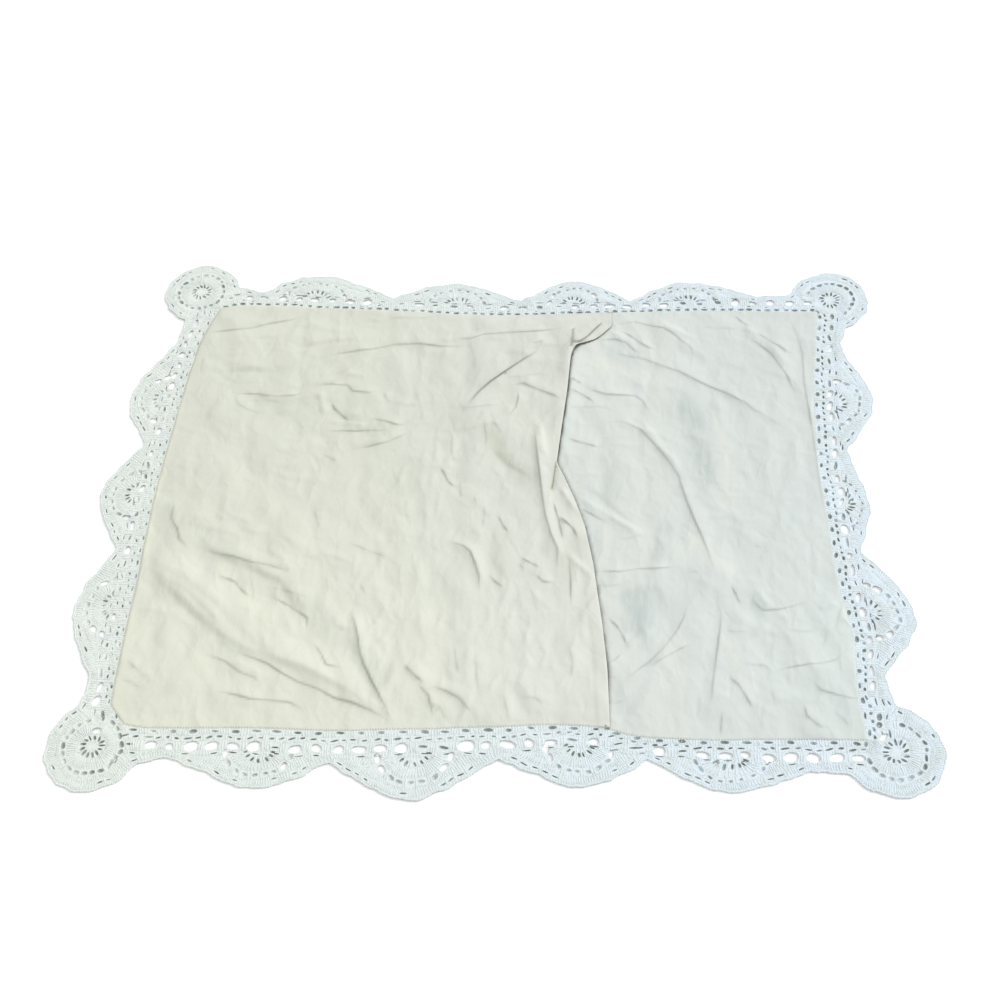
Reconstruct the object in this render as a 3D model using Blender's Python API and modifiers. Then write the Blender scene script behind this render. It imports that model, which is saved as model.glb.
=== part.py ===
"""Pillow sham with a crocheted scallop edging, lying flat with its envelope back upwards.

Four pieces, as they are cut, hooked and sewn:
    front_panel        the whole face cloth, lying flat underneath
    back_panel_narrow  the right part of the back, whose inner hem is tucked under the other
    back_panel_wide    the left part of the back, whose hemmed opening edge lies on top
    lace_edging        one continuous crocheted ring of open cells and scalloped fans

Tables are in millimetres, measured from the middle of the 660 x 508 mm cloth rectangle.
Every solid is an open surface, triangulated from its outline, with a Solidify modifier.
"""

import math
from collections import namedtuple

import bpy
import numpy as np
from mathutils import Vector
from mathutils.geometry import delaunay_2d_cdt

MM = 0.001

# Driving dimensions, in millimetres.
CLOTH_WIDTH = 660.0
CLOTH_HEIGHT = 508.0
CLOTH_THICKNESS = 1.0
LACE_THICKNESS = 1.7
SEAM_GAP = 0.3
CELL_PITCH = 18.6
TUCKED_EDGE_X = -20.0
PUFF = 1.7
PUFF_REACH = 45.0
SEAM_HOLD = 10.0
CLIMB_START = 24.0
CLIMB_LENGTH = 20.0
COVER_MARGIN = 5.0
COVER_RUN = 22.0
FOLD_END_SHARE = 0.15
FOLD_END_HEIGHT = 0.25
FOOT_SHARE = 1.4

# Spacing of the sheets' points: between folds' points, on the grid, and clear of an edge.
FOLD_SPACING = 3.0
GRID_SPACING = 27.0
GRID_CLEARANCE = 12.0
EDGE_CLEARANCE = 10.0

# Crochet rows of the heading, as shares of its depth, and the sizes of their openings.
ROW_NEAR = 0.13
ROW_OPEN = 0.57
NEAR_OPENING = (7.6, 3.6)
OPEN_OPENING = (12.0, 0.27)
FAN_CENTRE_SHARE = 0.62
FAN_RING_SHARE = 0.68
FAN_OPENINGS = ((-55.0, 7.5, 4.4), (0.0, 6.0, 3.2), (55.0, 7.5, 4.4))
CORNER_RING_SHARE = 0.61
CORNER_OPENINGS = ((-38.0, 6.5, 3.6), (38.0, 6.5, 3.6))
SCALLOP_BLEND = 11.0
SCALLOP_ROUNDNESS = 0.65
LACE_RIPPLE = 1.3
RIPPLE_LENGTH_X = 31.0
RIPPLE_LENGTH_Y = 37.0
RIPPLE_REACH = 30.0

Corner = namedtuple("Corner", "x y fan_x fan_y radius")
Side = namedtuple("Side", "axis outward start end edge fans valleys")
Fold = namedtuple("Fold", "rise left right path")

CORNERS = {
    "bottom_left": Corner(-328, -248, -346, -271, 43),
    "bottom_right": Corner(332, -250, 355, -260, 42),
    "top_right": Corner(328, 250, 343, 268, 39),
    "top_left": Corner(-330, 258, -346, 284, 41),
}

# edge: (along, outside the nominal side); fans: (along, depth of tip); valleys: (along, depth).
SIDES = {
    "bottom": Side(
        axis=0, outward=-1, start="bottom_left", end="bottom_right",
        edge=((-328, -6), (-300, -2), (-200, -4), (-130, -3), (-60, -6), (0, -9), (60, -13),
              (104, -12), (120, -5), (150, -2), (200, -1), (250, -3), (332, -4)),
        fans=((-195, 57), (-58, 66), (85, 57), (215, 48)),
        valleys=((-268, 30), (-133, 31), (15, 30), (145, 20), (285, 29))),
    "right": Side(
        axis=1, outward=1, start="bottom_right", end="top_right",
        edge=((-250, 2), (-200, -2), (-150, 0), (-100, -8), (-50, -12), (0, -14), (50, -17),
              (100, -16), (150, -13), (200, -8), (250, -2)),
        fans=((-120, 61), (0, 42), (125, 58)),
        valleys=((-185, 25), (-55, 27), (65, 30), (195, 27))),
    "top": Side(
        axis=0, outward=1, start="top_left", end="top_right",
        edge=((-330, 4), (-300, 9), (-250, 8), (-200, 4), (-150, 2), (-100, -2), (-50, -6),
              (0, -8), (50, -6), (100, -4), (200, -2), (328, -4)),
        fans=((-215, 49), (-58, 46), (68, 49), (190, 43)),
        valleys=((-275, 22), (-130, 20), (10, 21), (130, 18), (265, 23))),
    "left": Side(
        axis=1, outward=-1, start="bottom_left", end="top_left",
        edge=((-248, -2), (-200, 7), (-150, 11), (-100, 11), (-50, 13), (0, 14), (50, 13),
              (100, 11), (150, 9), (200, 5), (258, 0)),
        fans=((-125, 54), (5, 55), (130, 56)),
        valleys=((-200, 25), (-60, 27), (70, 25), (205, 27))),
}

# Two slack openings where the bottom left fan pulls on the heading.
SLACK_OPENINGS = ((-345.0, -255.0, 8.0, 6.0), (-323.0, -284.5, 6.5, 4.8))

# The opening edge of the wide back panel, from the top seam to the bottom seam.
OPENING_EDGE = ((110, 249), (109, 233), (86, 206), (71, 201), (68, 180), (65, 135), (60, 80),
                (57, 45), (66, 25), (76, 0), (86, -30), (95, -75), (99, -105), (104, -140),
                (109, -185), (112, -250))

# Folds: rise at the crest (a trough is negative), how far it falls off to the left and to
# the right of its path, and the path.
WIDE_FOLDS = (
    Fold(3.6, 5, 15, ((-84, -239), (-110, -222), (-150, -202), (-190, -180), (-222, -152),
                      (-252, -122), (-290, -95), (-340, -68))),
    Fold(2.6, 9, 3, ((-126, -132), (-118, -165), (-105, -195), (-86, -230))),
    Fold(3.4, 11, 2.5, ((32, 192), (15, 176), (-14, 149), (-35, 121))),
    Fold(3.2, 8, 2.5, ((33, 95), (37, 60), (43, 10), (52, -38), (62, -64), (61, -82))),
    Fold(3.6, 16, 14, ((64, 232), (65, 190), (60, 130), (53, 45), (51, 12))),
    Fold(1.2, 6, 10, ((72, 0), (90, -75), (105, -185), (109, -246))),
    Fold(2.2, 7, 3, ((-44, -50), (-22, -62), (-12, -90), (-11, -106))),
    Fold(-1.6, 5, 7, ((-330, 223), (-280, 227), (-240, 240), (-215, 250))),
    Fold(-1.6, 9, 5, ((-322, 164), (-275, 167), (-235, 166))),
    Fold(-1.5, 6, 6, ((-290, 152), (-283, 136), (-240, 133), (-205, 140), (-150, 158))),
    Fold(-1.6, 5, 5, ((-182, 126), (-170, 108), (-155, 98))),
    Fold(1.6, 9, 5, ((-205, 193), (-140, 205), (-95, 211), (-40, 208), (0, 222), (60, 232))),
    Fold(1.7, 8, 4, ((8, 150), (25, 150), (60, 129))),
    Fold(-1.7, 8, 8, ((-16, 96), (-8, 64), (8, 44), (35, 25))),
    Fold(1.8, 8, 4, ((-280, -58), (-232, -72), (-180, -84))),
    Fold(-1.6, 7, 7, ((-260, -92), (-228, -112), (-190, -122), (-170, -137), (-167, -155))),
    Fold(2.0, 7, 4, ((-75, -182), (-55, -201), (-42, -234))),
    Fold(1.9, 7, 4, ((-46, -203), (-22, -214), (-8, -230))),
    Fold(-1.4, 5, 5, ((-29, -155), (-27, -180), (-23, -200))),
    Fold(-1.4, 5, 5, ((-11, -168), (-8, -195), (-4, -218))),
)
NARROW_FOLDS = (
    Fold(3.6, 10, 3, ((120, 99), (141, 88), (160, 60), (177, 30), (186, 0), (197, -40),
                      (208, -80), (214, -94))),
    Fold(3.2, 7, 7, ((84, 6), (105, -14), (145, -42))),
    Fold(3.4, 8, 8, ((240, 240), (268, 211), (290, 176), (299, 138))),
    Fold(3.0, 15, 3, ((112, 195), (145, 182), (195, 155), (245, 124), (282, 93))),
    Fold(2.4, 11, 3, ((118, 231), (150, 229), (183, 208), (195, 184))),
    Fold(1.9, 8, 3, ((82, 149), (105, 135), (142, 126), (151, 108))),
    Fold(2.2, 3, 8, ((106, -83), (135, -81), (175, -77), (200, -70))),
    Fold(4.2, 6, 6, ((188, -88), (212, -100), (220, -122), (242, -141))),
    Fold(2.6, 9, 9, ((210, -72), (240, -95), (257, -119))),
    Fold(2.8, 10, 3, ((213, -110), (209, -160), (202, -200), (199, -228))),
    Fold(2.2, 3, 9, ((124, -198), (150, -175), (172, -145), (183, -116))),
    Fold(2.7, 3, 9, ((236, -193), (270, -184), (310, -178), (326, -158))),
    Fold(2.2, 7, 7, ((216, -150), (222, -180), (237, -224))),
    Fold(-1.6, 6, 6, ((286, -190), (300, -205), (330, -210))),
    Fold(-1.5, 7, 7, ((244, -103), (244, -118), (262, -121), (290, -113))),
    Fold(1.8, 14, 14, ((184, 142), (214, 116), (220, 70), (214, 30))),
)

Z_UNDER_BACK = CLOTH_THICKNESS + SEAM_GAP
Z_OVER_TUCKED = Z_UNDER_BACK + CLOTH_THICKNESS + SEAM_GAP


# ---------------------------------------------------------------- outlines

def smooth_step(value):
    """0 below 0, 1 above 1, with level ends."""
    value = np.clip(value, 0.0, 1.0)
    return value * value * (3.0 - 2.0 * value)


def table_value(rows, along):
    """Read a two-column table at a place along the side, eased from row to row."""
    stations = np.array([row[0] for row in rows], float)
    values = np.array([row[1] for row in rows], float)
    place = float(np.clip(along, stations[0], stations[-1]))
    index = min(int(np.searchsorted(stations, place, side="right")) - 1, len(rows) - 2)
    share = (place - stations[index]) / (stations[index + 1] - stations[index])
    return float(values[index] + (values[index + 1] - values[index]) * smooth_step(share))


def corner_along(side, corner):
    """The coordinate of a corner that runs along this side."""
    return CORNERS[corner][side.axis]


def stations(side):
    """Places along a side, one crochet cell apart, from corner to corner."""
    first, last = corner_along(side, side.start), corner_along(side, side.end)
    count = round((last - first) / CELL_PITCH)
    return np.linspace(first, last, count + 1)


def curve_depth(side, along):
    """How far out the cloth's edge lies on this side, before it is cut into straight runs."""
    half = (CLOTH_HEIGHT if side.axis == 0 else CLOTH_WIDTH) / 2
    return half + table_value(side.edge, along)


def cloth_depth(side, along):
    """Distance from the middle of the sham to the cloth's edge, on the runs between cells."""
    places = stations(side)
    return float(np.interp(along, places, [curve_depth(side, place) for place in places]))


def side_point(side, along, depth):
    """The point that lies a given depth outside the cloth's edge."""
    across = side.outward * (cloth_depth(side, along) + depth)
    return (along, across) if side.axis == 0 else (across, along)


def heading_depth(side, along):
    """Depth of the straight crochet heading, which the valleys between fans show bare."""
    return table_value(side.valleys, along)


def circle_reach(origin, direction, corner):
    """Distance to a corner fan's rim along a direction, falling away where it misses the fan."""
    to_centre = np.array([corner.fan_x, corner.fan_y], float) - origin
    along = float(to_centre @ direction)
    offset = math.sqrt(max(float(to_centre @ to_centre) - along * along, 0.0))
    if offset > corner.radius:
        return along - (offset - corner.radius)
    return along + math.sqrt(corner.radius ** 2 - offset ** 2)


def soft_maximum(first, second):
    """The larger of two depths, blended where they are alike."""
    high = max(first, second)
    low = min(first, second)
    return high + SCALLOP_BLEND * math.log1p(math.exp((low - high) / SCALLOP_BLEND))


def outward_direction(side):
    """The direction in which the lace leaves the cloth on a side."""
    return np.array([0.0, side.outward] if side.axis == 0 else [side.outward, 0.0])


def scallop_depth(side, along):
    """Depth of the lace's outer edge along a side, with its fans and the corner fans."""
    base = heading_depth(side, along)
    depth = base
    for index, (middle, tip) in enumerate(side.fans):
        foot = side.valleys[index] if along < middle else side.valleys[index + 1]
        share = abs(along - middle) / abs(foot[0] - middle)
        if share < 1.0:
            bell = 0.5 + 0.5 * math.cos(math.pi * share)
            bow = 1.0 - share * share
            hump = (1.0 - SCALLOP_ROUNDNESS) * bell + SCALLOP_ROUNDNESS * bow
            depth = base + (tip - base) * hump
    origin = np.array(side_point(side, along, 0.0))
    for name in (side.start, side.end):
        reach = circle_reach(origin, outward_direction(side), CORNERS[name])
        if reach > 0.0:
            depth = soft_maximum(depth, reach)
    return depth


def corner_arc(name, first_side, last_side, steps=8):
    """Points on the lace's rim in the quarter outside a cloth corner."""
    corner = CORNERS[name]
    origin = np.array([corner.x, corner.y], float)
    first, last = outward_direction(first_side), outward_direction(last_side)
    start = math.atan2(first[1], first[0])
    turn = (math.atan2(last[1], last[0]) - start) % (2 * math.pi)
    points = []
    for step in range(1, steps):
        angle = start + turn * step / steps
        direction = np.array([math.cos(angle), math.sin(angle)])
        points.append(tuple(origin + direction * circle_reach(origin, direction, corner)))
    return points


TRAVEL = (("bottom", False, "bottom_right", "right"), ("right", False, "top_right", "top"),
          ("top", True, "top_left", "left"), ("left", True, "bottom_left", "bottom"))


def cloth_loop(gap=0.0):
    """The cloth's edge, anticlockwise, moved outwards by a gap."""
    points = []
    for name, backwards, corner, _ in TRAVEL:
        side = SIDES[name]
        places = stations(side)[1:-1]
        places = places[::-1] if backwards else places
        points += [side_point(side, place, gap) for place in places]
        spot = CORNERS[corner]
        points.append((spot.x + math.copysign(gap, spot.x), spot.y + math.copysign(gap, spot.y)))
    return points


def lace_loop():
    """The lace's scalloped rim, anticlockwise."""
    points = []
    for name, backwards, corner, following in TRAVEL:
        side = SIDES[name]
        first, last = stations(side)[0], stations(side)[-1]
        places = np.linspace(first, last, 2 * len(stations(side)) - 1)
        places = places[::-1] if backwards else places
        points += [side_point(side, place, scallop_depth(side, place)) for place in places]
        points += corner_arc(corner, side, SIDES[following])
    return points


def opening_line():
    """The wide panel's opening edge, with its two ends on the cloth's edge."""
    top, bottom = OPENING_EDGE[0][0], OPENING_EDGE[-1][0]
    return ([side_point(SIDES["top"], top, 0.0)] + list(OPENING_EDGE[1:-1])
            + [side_point(SIDES["bottom"], bottom, 0.0)])


def cloth_part(cut, keep_left):
    """The cloth's outline to one side of a cut that runs from the top edge to the bottom one."""
    loop = cloth_loop()
    count = len(loop)
    kept = [(x < (cut[0][0] if y > 0 else cut[-1][0])) == keep_left for x, y in loop]
    first = next(i for i in range(count) if kept[i] and not kept[i - 1])
    order = [(first + i) % count for i in range(count)]
    return [loop[i] for i in order if kept[i]] + (cut[::-1] if keep_left else cut)


# ---------------------------------------------------------------- folds

def path_distance(points, path):
    """Signed distance to a path (positive on its left) and the share of its length there."""
    starts = np.array(path[:-1], float)
    runs = np.diff(np.array(path, float), axis=0)
    lengths = np.linalg.norm(runs, axis=1)
    before = np.concatenate([[0.0], np.cumsum(lengths)])[:-1]
    offsets = points[:, None, :] - starts[None, :, :]
    shares = np.clip((offsets * runs).sum(2) / lengths ** 2, 0.0, 1.0)
    gaps = offsets - shares[:, :, None] * runs
    distances = np.linalg.norm(gaps, axis=2)
    nearest = distances.argmin(1)
    rows = np.arange(len(points))
    turn = runs[nearest, 0] * offsets[rows, nearest, 1] - runs[nearest, 1] * offsets[rows, nearest, 0]
    signed = distances[rows, nearest] * np.where(turn < 0, -1.0, 1.0)
    along = (before[nearest] + shares[rows, nearest] * lengths[nearest]) / lengths.sum()
    return signed, along


def fold_height(points, folds):
    """Sum of the folds' ridges and troughs at some points."""
    height = np.zeros(len(points))
    for fold in folds:
        distance, along = path_distance(points, fold.path)
        width = np.where(distance > 0, fold.left, fold.right)
        ends = smooth_step(along / FOLD_END_SHARE) * smooth_step((1.0 - along) / FOLD_END_SHARE)
        taper = FOLD_END_HEIGHT + (1.0 - FOLD_END_HEIGHT) * ends
        height += fold.rise * taper * np.exp(-(distance / width) ** 2)
    return height


def edge_clearance(points, outline):
    """Distance from each point to a closed outline."""
    distance, _ = path_distance(points, list(outline) + [outline[0]])
    return np.abs(distance)


def back_relief(points, folds):
    """Height of a back panel above its lowest place: a gentle puff and its folds."""
    clearance = edge_clearance(points, cloth_loop())
    puff = PUFF * smooth_step(clearance / PUFF_REACH)
    creases = np.maximum(fold_height(points, folds), -PUFF) * smooth_step(clearance / SEAM_HOLD)
    return np.maximum(puff + creases, 0.0)


def wide_height(points):
    """Underside of the wide panel, which climbs over the tucked hem of the narrow one."""
    climb = smooth_step((points[:, 0] - TUCKED_EDGE_X + CLIMB_START) / CLIMB_LENGTH)
    floor = Z_UNDER_BACK + (Z_OVER_TUCKED - Z_UNDER_BACK) * climb
    return floor + back_relief(points, WIDE_FOLDS)


def narrow_height(points):
    """Underside of the narrow panel, flat where the wide one covers it."""
    distance, _ = path_distance(points, opening_line())
    uncovered = smooth_step((distance - COVER_MARGIN) / COVER_RUN)
    return Z_UNDER_BACK + back_relief(points, NARROW_FOLDS) * uncovered


def flat_height(points):
    """Underside of the front panel."""
    return np.zeros(len(points))


def lace_height(points):
    """Underside of the lace, which ripples gently off the surface."""
    wave = np.sin(points[:, 0] / RIPPLE_LENGTH_X + 0.6) * np.cos(points[:, 1] / RIPPLE_LENGTH_Y)
    outside = smooth_step(edge_clearance(points, cloth_loop()) / RIPPLE_REACH)
    return LACE_RIPPLE * (0.5 + 0.5 * wave) * outside


# ---------------------------------------------------------------- meshes

def fold_points(folds):
    """Points on each fold's crest and along both of its feet."""
    points = []
    for fold in folds:
        path = np.array(fold.path, float)
        runs = np.gradient(path, axis=0)
        normals = np.stack([-runs[:, 1], runs[:, 0]], 1) / np.linalg.norm(runs, axis=1)[:, None]
        points += [tuple(spot) for spot in path]
        points += [tuple(spot) for spot in path + normals * fold.left * FOOT_SHARE]
        points += [tuple(spot) for spot in path - normals * fold.right * FOOT_SHARE]
    return points


def inside(points, outline):
    """Which points lie inside an outline, by counting crossings."""
    corners = np.array(outline, float)
    following = np.roll(corners, -1, axis=0)
    result = np.zeros(len(points), bool)
    for (x1, y1), (x2, y2) in zip(corners, following):
        if y1 == y2:
            continue
        crosses = (y1 > points[:, 1]) != (y2 > points[:, 1])
        result ^= crosses & (points[:, 0] < (x2 - x1) * (points[:, 1] - y1) / (y2 - y1) + x1)
    return result


def spread_points(candidates, outline, placed, spacing, margin):
    """Keep candidates inside the outline that stay apart from what is placed already."""
    spots = np.array(candidates, float).reshape(-1, 2)
    spots = spots[inside(spots, outline)]
    spots = spots[edge_clearance(spots, outline) > margin]
    kept = list(placed)
    for spot in spots:
        if not kept or np.linalg.norm(np.array(kept) - spot, axis=1).min() > spacing:
            kept.append(tuple(spot))
    return kept


def grid_points():
    """A staggered grid over the whole cloth."""
    points = []
    rows = np.arange(-CLOTH_HEIGHT / 2, CLOTH_HEIGHT / 2 + 1, GRID_SPACING * 0.87)
    for index, y in enumerate(rows):
        shift = GRID_SPACING / 2 if index % 2 else 0.0
        points += [(x, y) for x in np.arange(-360.0 + shift, 360.0, GRID_SPACING)]
    return points


def sheet_points(folds, outline):
    """Points inside a back panel: along its folds, then on the grid where there is room."""
    placed = spread_points(fold_points(folds), outline, [], FOLD_SPACING, FOLD_SPACING)
    return spread_points(grid_points(), outline, placed, GRID_CLEARANCE, EDGE_CLEARANCE)


def sheet_object(name, outline, openings, extra_points, extra_lines, height, thickness, material):
    """Triangulate an outline round its openings, lift it to its folds and thicken it."""
    points, faces, edges = [], [], []
    for loop in [outline] + openings:
        faces.append(list(range(len(points), len(points) + len(loop))))
        points += loop
    for line in extra_lines:
        edges += [(len(points) + i, len(points) + i + 1) for i in range(len(line) - 1)]
        points += line
    points += extra_points
    flat = [Vector(point) for point in points]
    spots, _, triangles, _, _, owners = delaunay_2d_cdt(flat, edges, faces, 1, 1e-4, True)
    kept = [tri for tri, owner in zip(triangles, owners) if list(owner) == [0]]
    used = sorted({corner for tri in kept for corner in tri})
    place = {corner: index for index, corner in enumerate(used)}
    plan = np.array([spots[corner] for corner in used], float)
    heights = height(plan)
    mesh = bpy.data.meshes.new(name)
    corners = [((x - CENTRE[0]) * MM, (y - CENTRE[1]) * MM, z * MM)
               for (x, y), z in zip(plan, heights)]
    mesh.from_pydata(corners, [], [[place[corner] for corner in tri] for tri in kept])
    mesh.validate()
    mesh.materials.append(material)
    sheet = bpy.data.objects.new(name, mesh)
    COLLECTION.objects.link(sheet)
    solidify = sheet.modifiers.new("thickness", "SOLIDIFY")
    solidify.thickness = thickness * MM
    solidify.offset = 1.0
    return sheet


def opening(centre, along, width, height, corners):
    """A small polygon opening: four corners, or six for a rounded one."""
    if corners == 4:
        shape = ((-0.5, -0.5), (0.5, -0.5), (0.5, 0.5), (-0.5, 0.5))
    else:
        shape = ((-0.5, 0.0), (-0.3, -0.5), (0.3, -0.5), (0.5, 0.0), (0.3, 0.5), (-0.3, 0.5))
    tangent = np.array(along, float)
    normal = np.array([-tangent[1], tangent[0]])
    return [tuple(np.array(centre) + tangent * width * u + normal * height * v) for u, v in shape]


def heading_openings(side):
    """The two rows of open cells along a side: small ones by the cloth, large ones outside."""
    places = stations(side)
    middles = (places[:-1] + places[1:]) / 2
    tangent = (1.0, 0.0) if side.axis == 0 else (0.0, 1.0)
    openings = []
    for middle in middles:
        depth = heading_depth(side, middle)
        near = side_point(side, middle, ROW_NEAR * depth + 0.6)
        far = side_point(side, middle, ROW_OPEN * depth)
        openings.append(opening(near, tangent, *NEAR_OPENING, 4))
        openings.append(opening(far, tangent, OPEN_OPENING[0], OPEN_OPENING[1] * depth, 6))
    return openings


def fan_openings(side):
    """The openings in the second ring of each fan on a side."""
    openings = []
    for index, (middle, tip) in enumerate(side.fans):
        width = (side.valleys[index + 1][0] - side.valleys[index][0]) / 2
        centre = FAN_CENTRE_SHARE * heading_depth(side, middle)
        rise = FAN_RING_SHARE * (tip - centre)
        reach = FAN_RING_SHARE * 0.66 * width
        for angle, long, short in FAN_OPENINGS:
            turn = math.radians(angle)
            along = middle + reach * math.sin(turn)
            spot = side_point(side, along, centre + rise * math.cos(turn))
            slope = np.array([reach * math.cos(turn), -rise * math.sin(turn) * side.outward])
            slope = slope if side.axis == 0 else slope[::-1]
            openings.append(opening(spot, slope / np.linalg.norm(slope), long, short, 4))
    return openings


def corner_fan_openings(corner):
    """Two openings in the second ring of a corner fan, either side of its outermost point."""
    outward = math.atan2(corner.fan_y - corner.y, corner.fan_x - corner.x)
    reach = CORNER_RING_SHARE * corner.radius
    openings = []
    for angle, long, short in CORNER_OPENINGS:
        turn = outward + math.radians(angle)
        spot = (corner.fan_x + reach * math.cos(turn), corner.fan_y + reach * math.sin(turn))
        openings.append(opening(spot, (-math.sin(turn), math.cos(turn)), long, short, 4))
    return openings


# ---------------------------------------------------------------- the scene

def clear_scene():
    """Remove every object of the start-up scene."""
    for item in list(bpy.data.objects):
        bpy.data.objects.remove(item, do_unlink=True)


def make_material(name, colour, roughness):
    """A plain Principled material."""
    material = bpy.data.materials.new(name)
    material.use_nodes = True
    shader = material.node_tree.nodes["Principled BSDF"]
    shader.inputs["Base Color"].default_value = (*colour, 1.0)
    shader.inputs["Roughness"].default_value = roughness
    shader.inputs["Metallic"].default_value = 0.0
    return material


clear_scene()
COLLECTION = bpy.data.collections.new("pillow_sham")
bpy.context.scene.collection.children.link(COLLECTION)

RIM = lace_loop()
CENTRE = tuple((max(p[i] for p in RIM) + min(p[i] for p in RIM)) / 2 for i in (0, 1))

front_cotton = make_material("front_cotton", (0.78, 0.78, 0.70), 0.9)
warm_cotton = make_material("warm_cotton", (0.79, 0.79, 0.68), 0.9)
cool_cotton = make_material("cool_cotton", (0.74, 0.78, 0.74), 0.9)
crochet_cotton = make_material("crochet_cotton", (0.78, 0.83, 0.83), 0.85)

sheet_object("front_panel", cloth_loop(), [], [], [], flat_height, CLOTH_THICKNESS, front_cotton)

cut = opening_line()
tucked = [side_point(SIDES["top"], TUCKED_EDGE_X, 0.0),
          side_point(SIDES["bottom"], TUCKED_EDGE_X, 0.0)]

wide_outline = cloth_part(cut, keep_left=True)
climbed = [(TUCKED_EDGE_X - CLIMB_START + CLIMB_LENGTH, y) for y in np.linspace(-230.0, 230.0, 18)]
sheet_object("back_panel_wide", wide_outline, [], sheet_points(WIDE_FOLDS, wide_outline),
             [climbed], wide_height, CLOTH_THICKNESS, warm_cotton)

narrow_outline = cloth_part(tucked, keep_left=False)
beside_cut = [(x + COVER_MARGIN - 1.0, y) for x, y in cut[1:-1]]
sheet_object("back_panel_narrow", narrow_outline, [], sheet_points(NARROW_FOLDS, narrow_outline),
             [beside_cut], narrow_height, CLOTH_THICKNESS, cool_cotton)

lace_openings = [cloth_loop(SEAM_GAP)]
for lace_side in SIDES.values():
    lace_openings += heading_openings(lace_side) + fan_openings(lace_side)
for lace_corner in CORNERS.values():
    lace_openings += corner_fan_openings(lace_corner)
for x, y, long, short in SLACK_OPENINGS:
    lace_openings.append(opening((x, y), (1.0, 0.0), long, short, 4))
sheet_object("lace_edging", RIM, lace_openings, [], [], lace_height, LACE_THICKNESS,
             crochet_cotton)
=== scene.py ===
import math
from collections import namedtuple

import bpy
import numpy as np
from mathutils import Matrix, Vector
from mathutils.geometry import delaunay_2d_cdt


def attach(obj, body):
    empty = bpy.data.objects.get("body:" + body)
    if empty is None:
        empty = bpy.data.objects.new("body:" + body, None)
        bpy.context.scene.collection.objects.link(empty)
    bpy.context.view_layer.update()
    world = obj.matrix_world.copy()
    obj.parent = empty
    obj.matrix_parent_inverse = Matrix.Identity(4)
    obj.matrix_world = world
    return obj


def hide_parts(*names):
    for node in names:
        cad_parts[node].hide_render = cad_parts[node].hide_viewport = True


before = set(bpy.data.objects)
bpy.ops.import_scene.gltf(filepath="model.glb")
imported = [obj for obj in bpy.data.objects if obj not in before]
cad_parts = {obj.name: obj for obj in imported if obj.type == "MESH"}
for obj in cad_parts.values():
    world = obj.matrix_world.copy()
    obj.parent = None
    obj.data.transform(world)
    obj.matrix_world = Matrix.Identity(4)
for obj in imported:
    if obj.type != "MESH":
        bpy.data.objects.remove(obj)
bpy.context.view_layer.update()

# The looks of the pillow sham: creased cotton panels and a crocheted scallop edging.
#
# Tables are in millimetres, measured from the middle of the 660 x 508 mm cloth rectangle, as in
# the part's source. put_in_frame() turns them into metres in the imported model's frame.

MM = 0.001
SEEDS = {"wide": 3, "front": 5, "narrow": 8, "openings": 11, "rim": 17, "yarn": 21, "stray": 23}
FACET_SEEDS = 10

# ---------------------------------------------------------------- sizes shared with the source
#
# The pieces lie where the source's solids do, so these sizes are its own. A few are eased after
# the photo: ROW_NEAR, LACE_RIPPLE, the cloth's two left corners, the edge rows beside them and the
# upper rows of the opening edge.

CLOTH_WIDTH = 660.0
CLOTH_HEIGHT = 508.0
CLOTH_THICKNESS = 1.0
SEAM_GAP = 0.3
CELL_PITCH = 18.6
TUCKED_EDGE_X = -20.0
PUFF = 1.7
PUFF_REACH = 45.0
SEAM_HOLD = 10.0
CLIMB_START = 24.0
CLIMB_LENGTH = 20.0
FOLD_END_SHARE = 0.15
FOLD_END_HEIGHT = 0.25
ROW_NEAR = 0.10
ROW_OPEN = 0.57
FAN_CENTRE_SHARE = 0.62
FAN_RING_SHARE = 0.68
FAN_REACH_SHARE = 0.66
CORNER_RING_SHARE = 0.61
SCALLOP_BLEND = 11.0
SCALLOP_ROUNDNESS = 0.65
LACE_RIPPLE = 0.9
RIPPLE_LENGTH_X = 31.0
RIPPLE_LENGTH_Y = 37.0
RIPPLE_REACH = 30.0
RIPPLE_PHASE = 0.6
Z_UNDER_BACK = CLOTH_THICKNESS + SEAM_GAP
Z_OVER_TUCKED = Z_UNDER_BACK + CLOTH_THICKNESS + SEAM_GAP

Corner = namedtuple("Corner", "x y fan_x fan_y radius")
Side = namedtuple("Side", "axis outward start end edge fans valleys")
Fold = namedtuple("Fold", "rise left right path")

CORNERS = {
    "bottom_left": Corner(-322, -249, -346, -271, 43),
    "bottom_right": Corner(332, -250, 355, -260, 42),
    "top_right": Corner(328, 250, 343, 268, 39),
    "top_left": Corner(-320, 259, -346, 284, 41),
}

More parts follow.
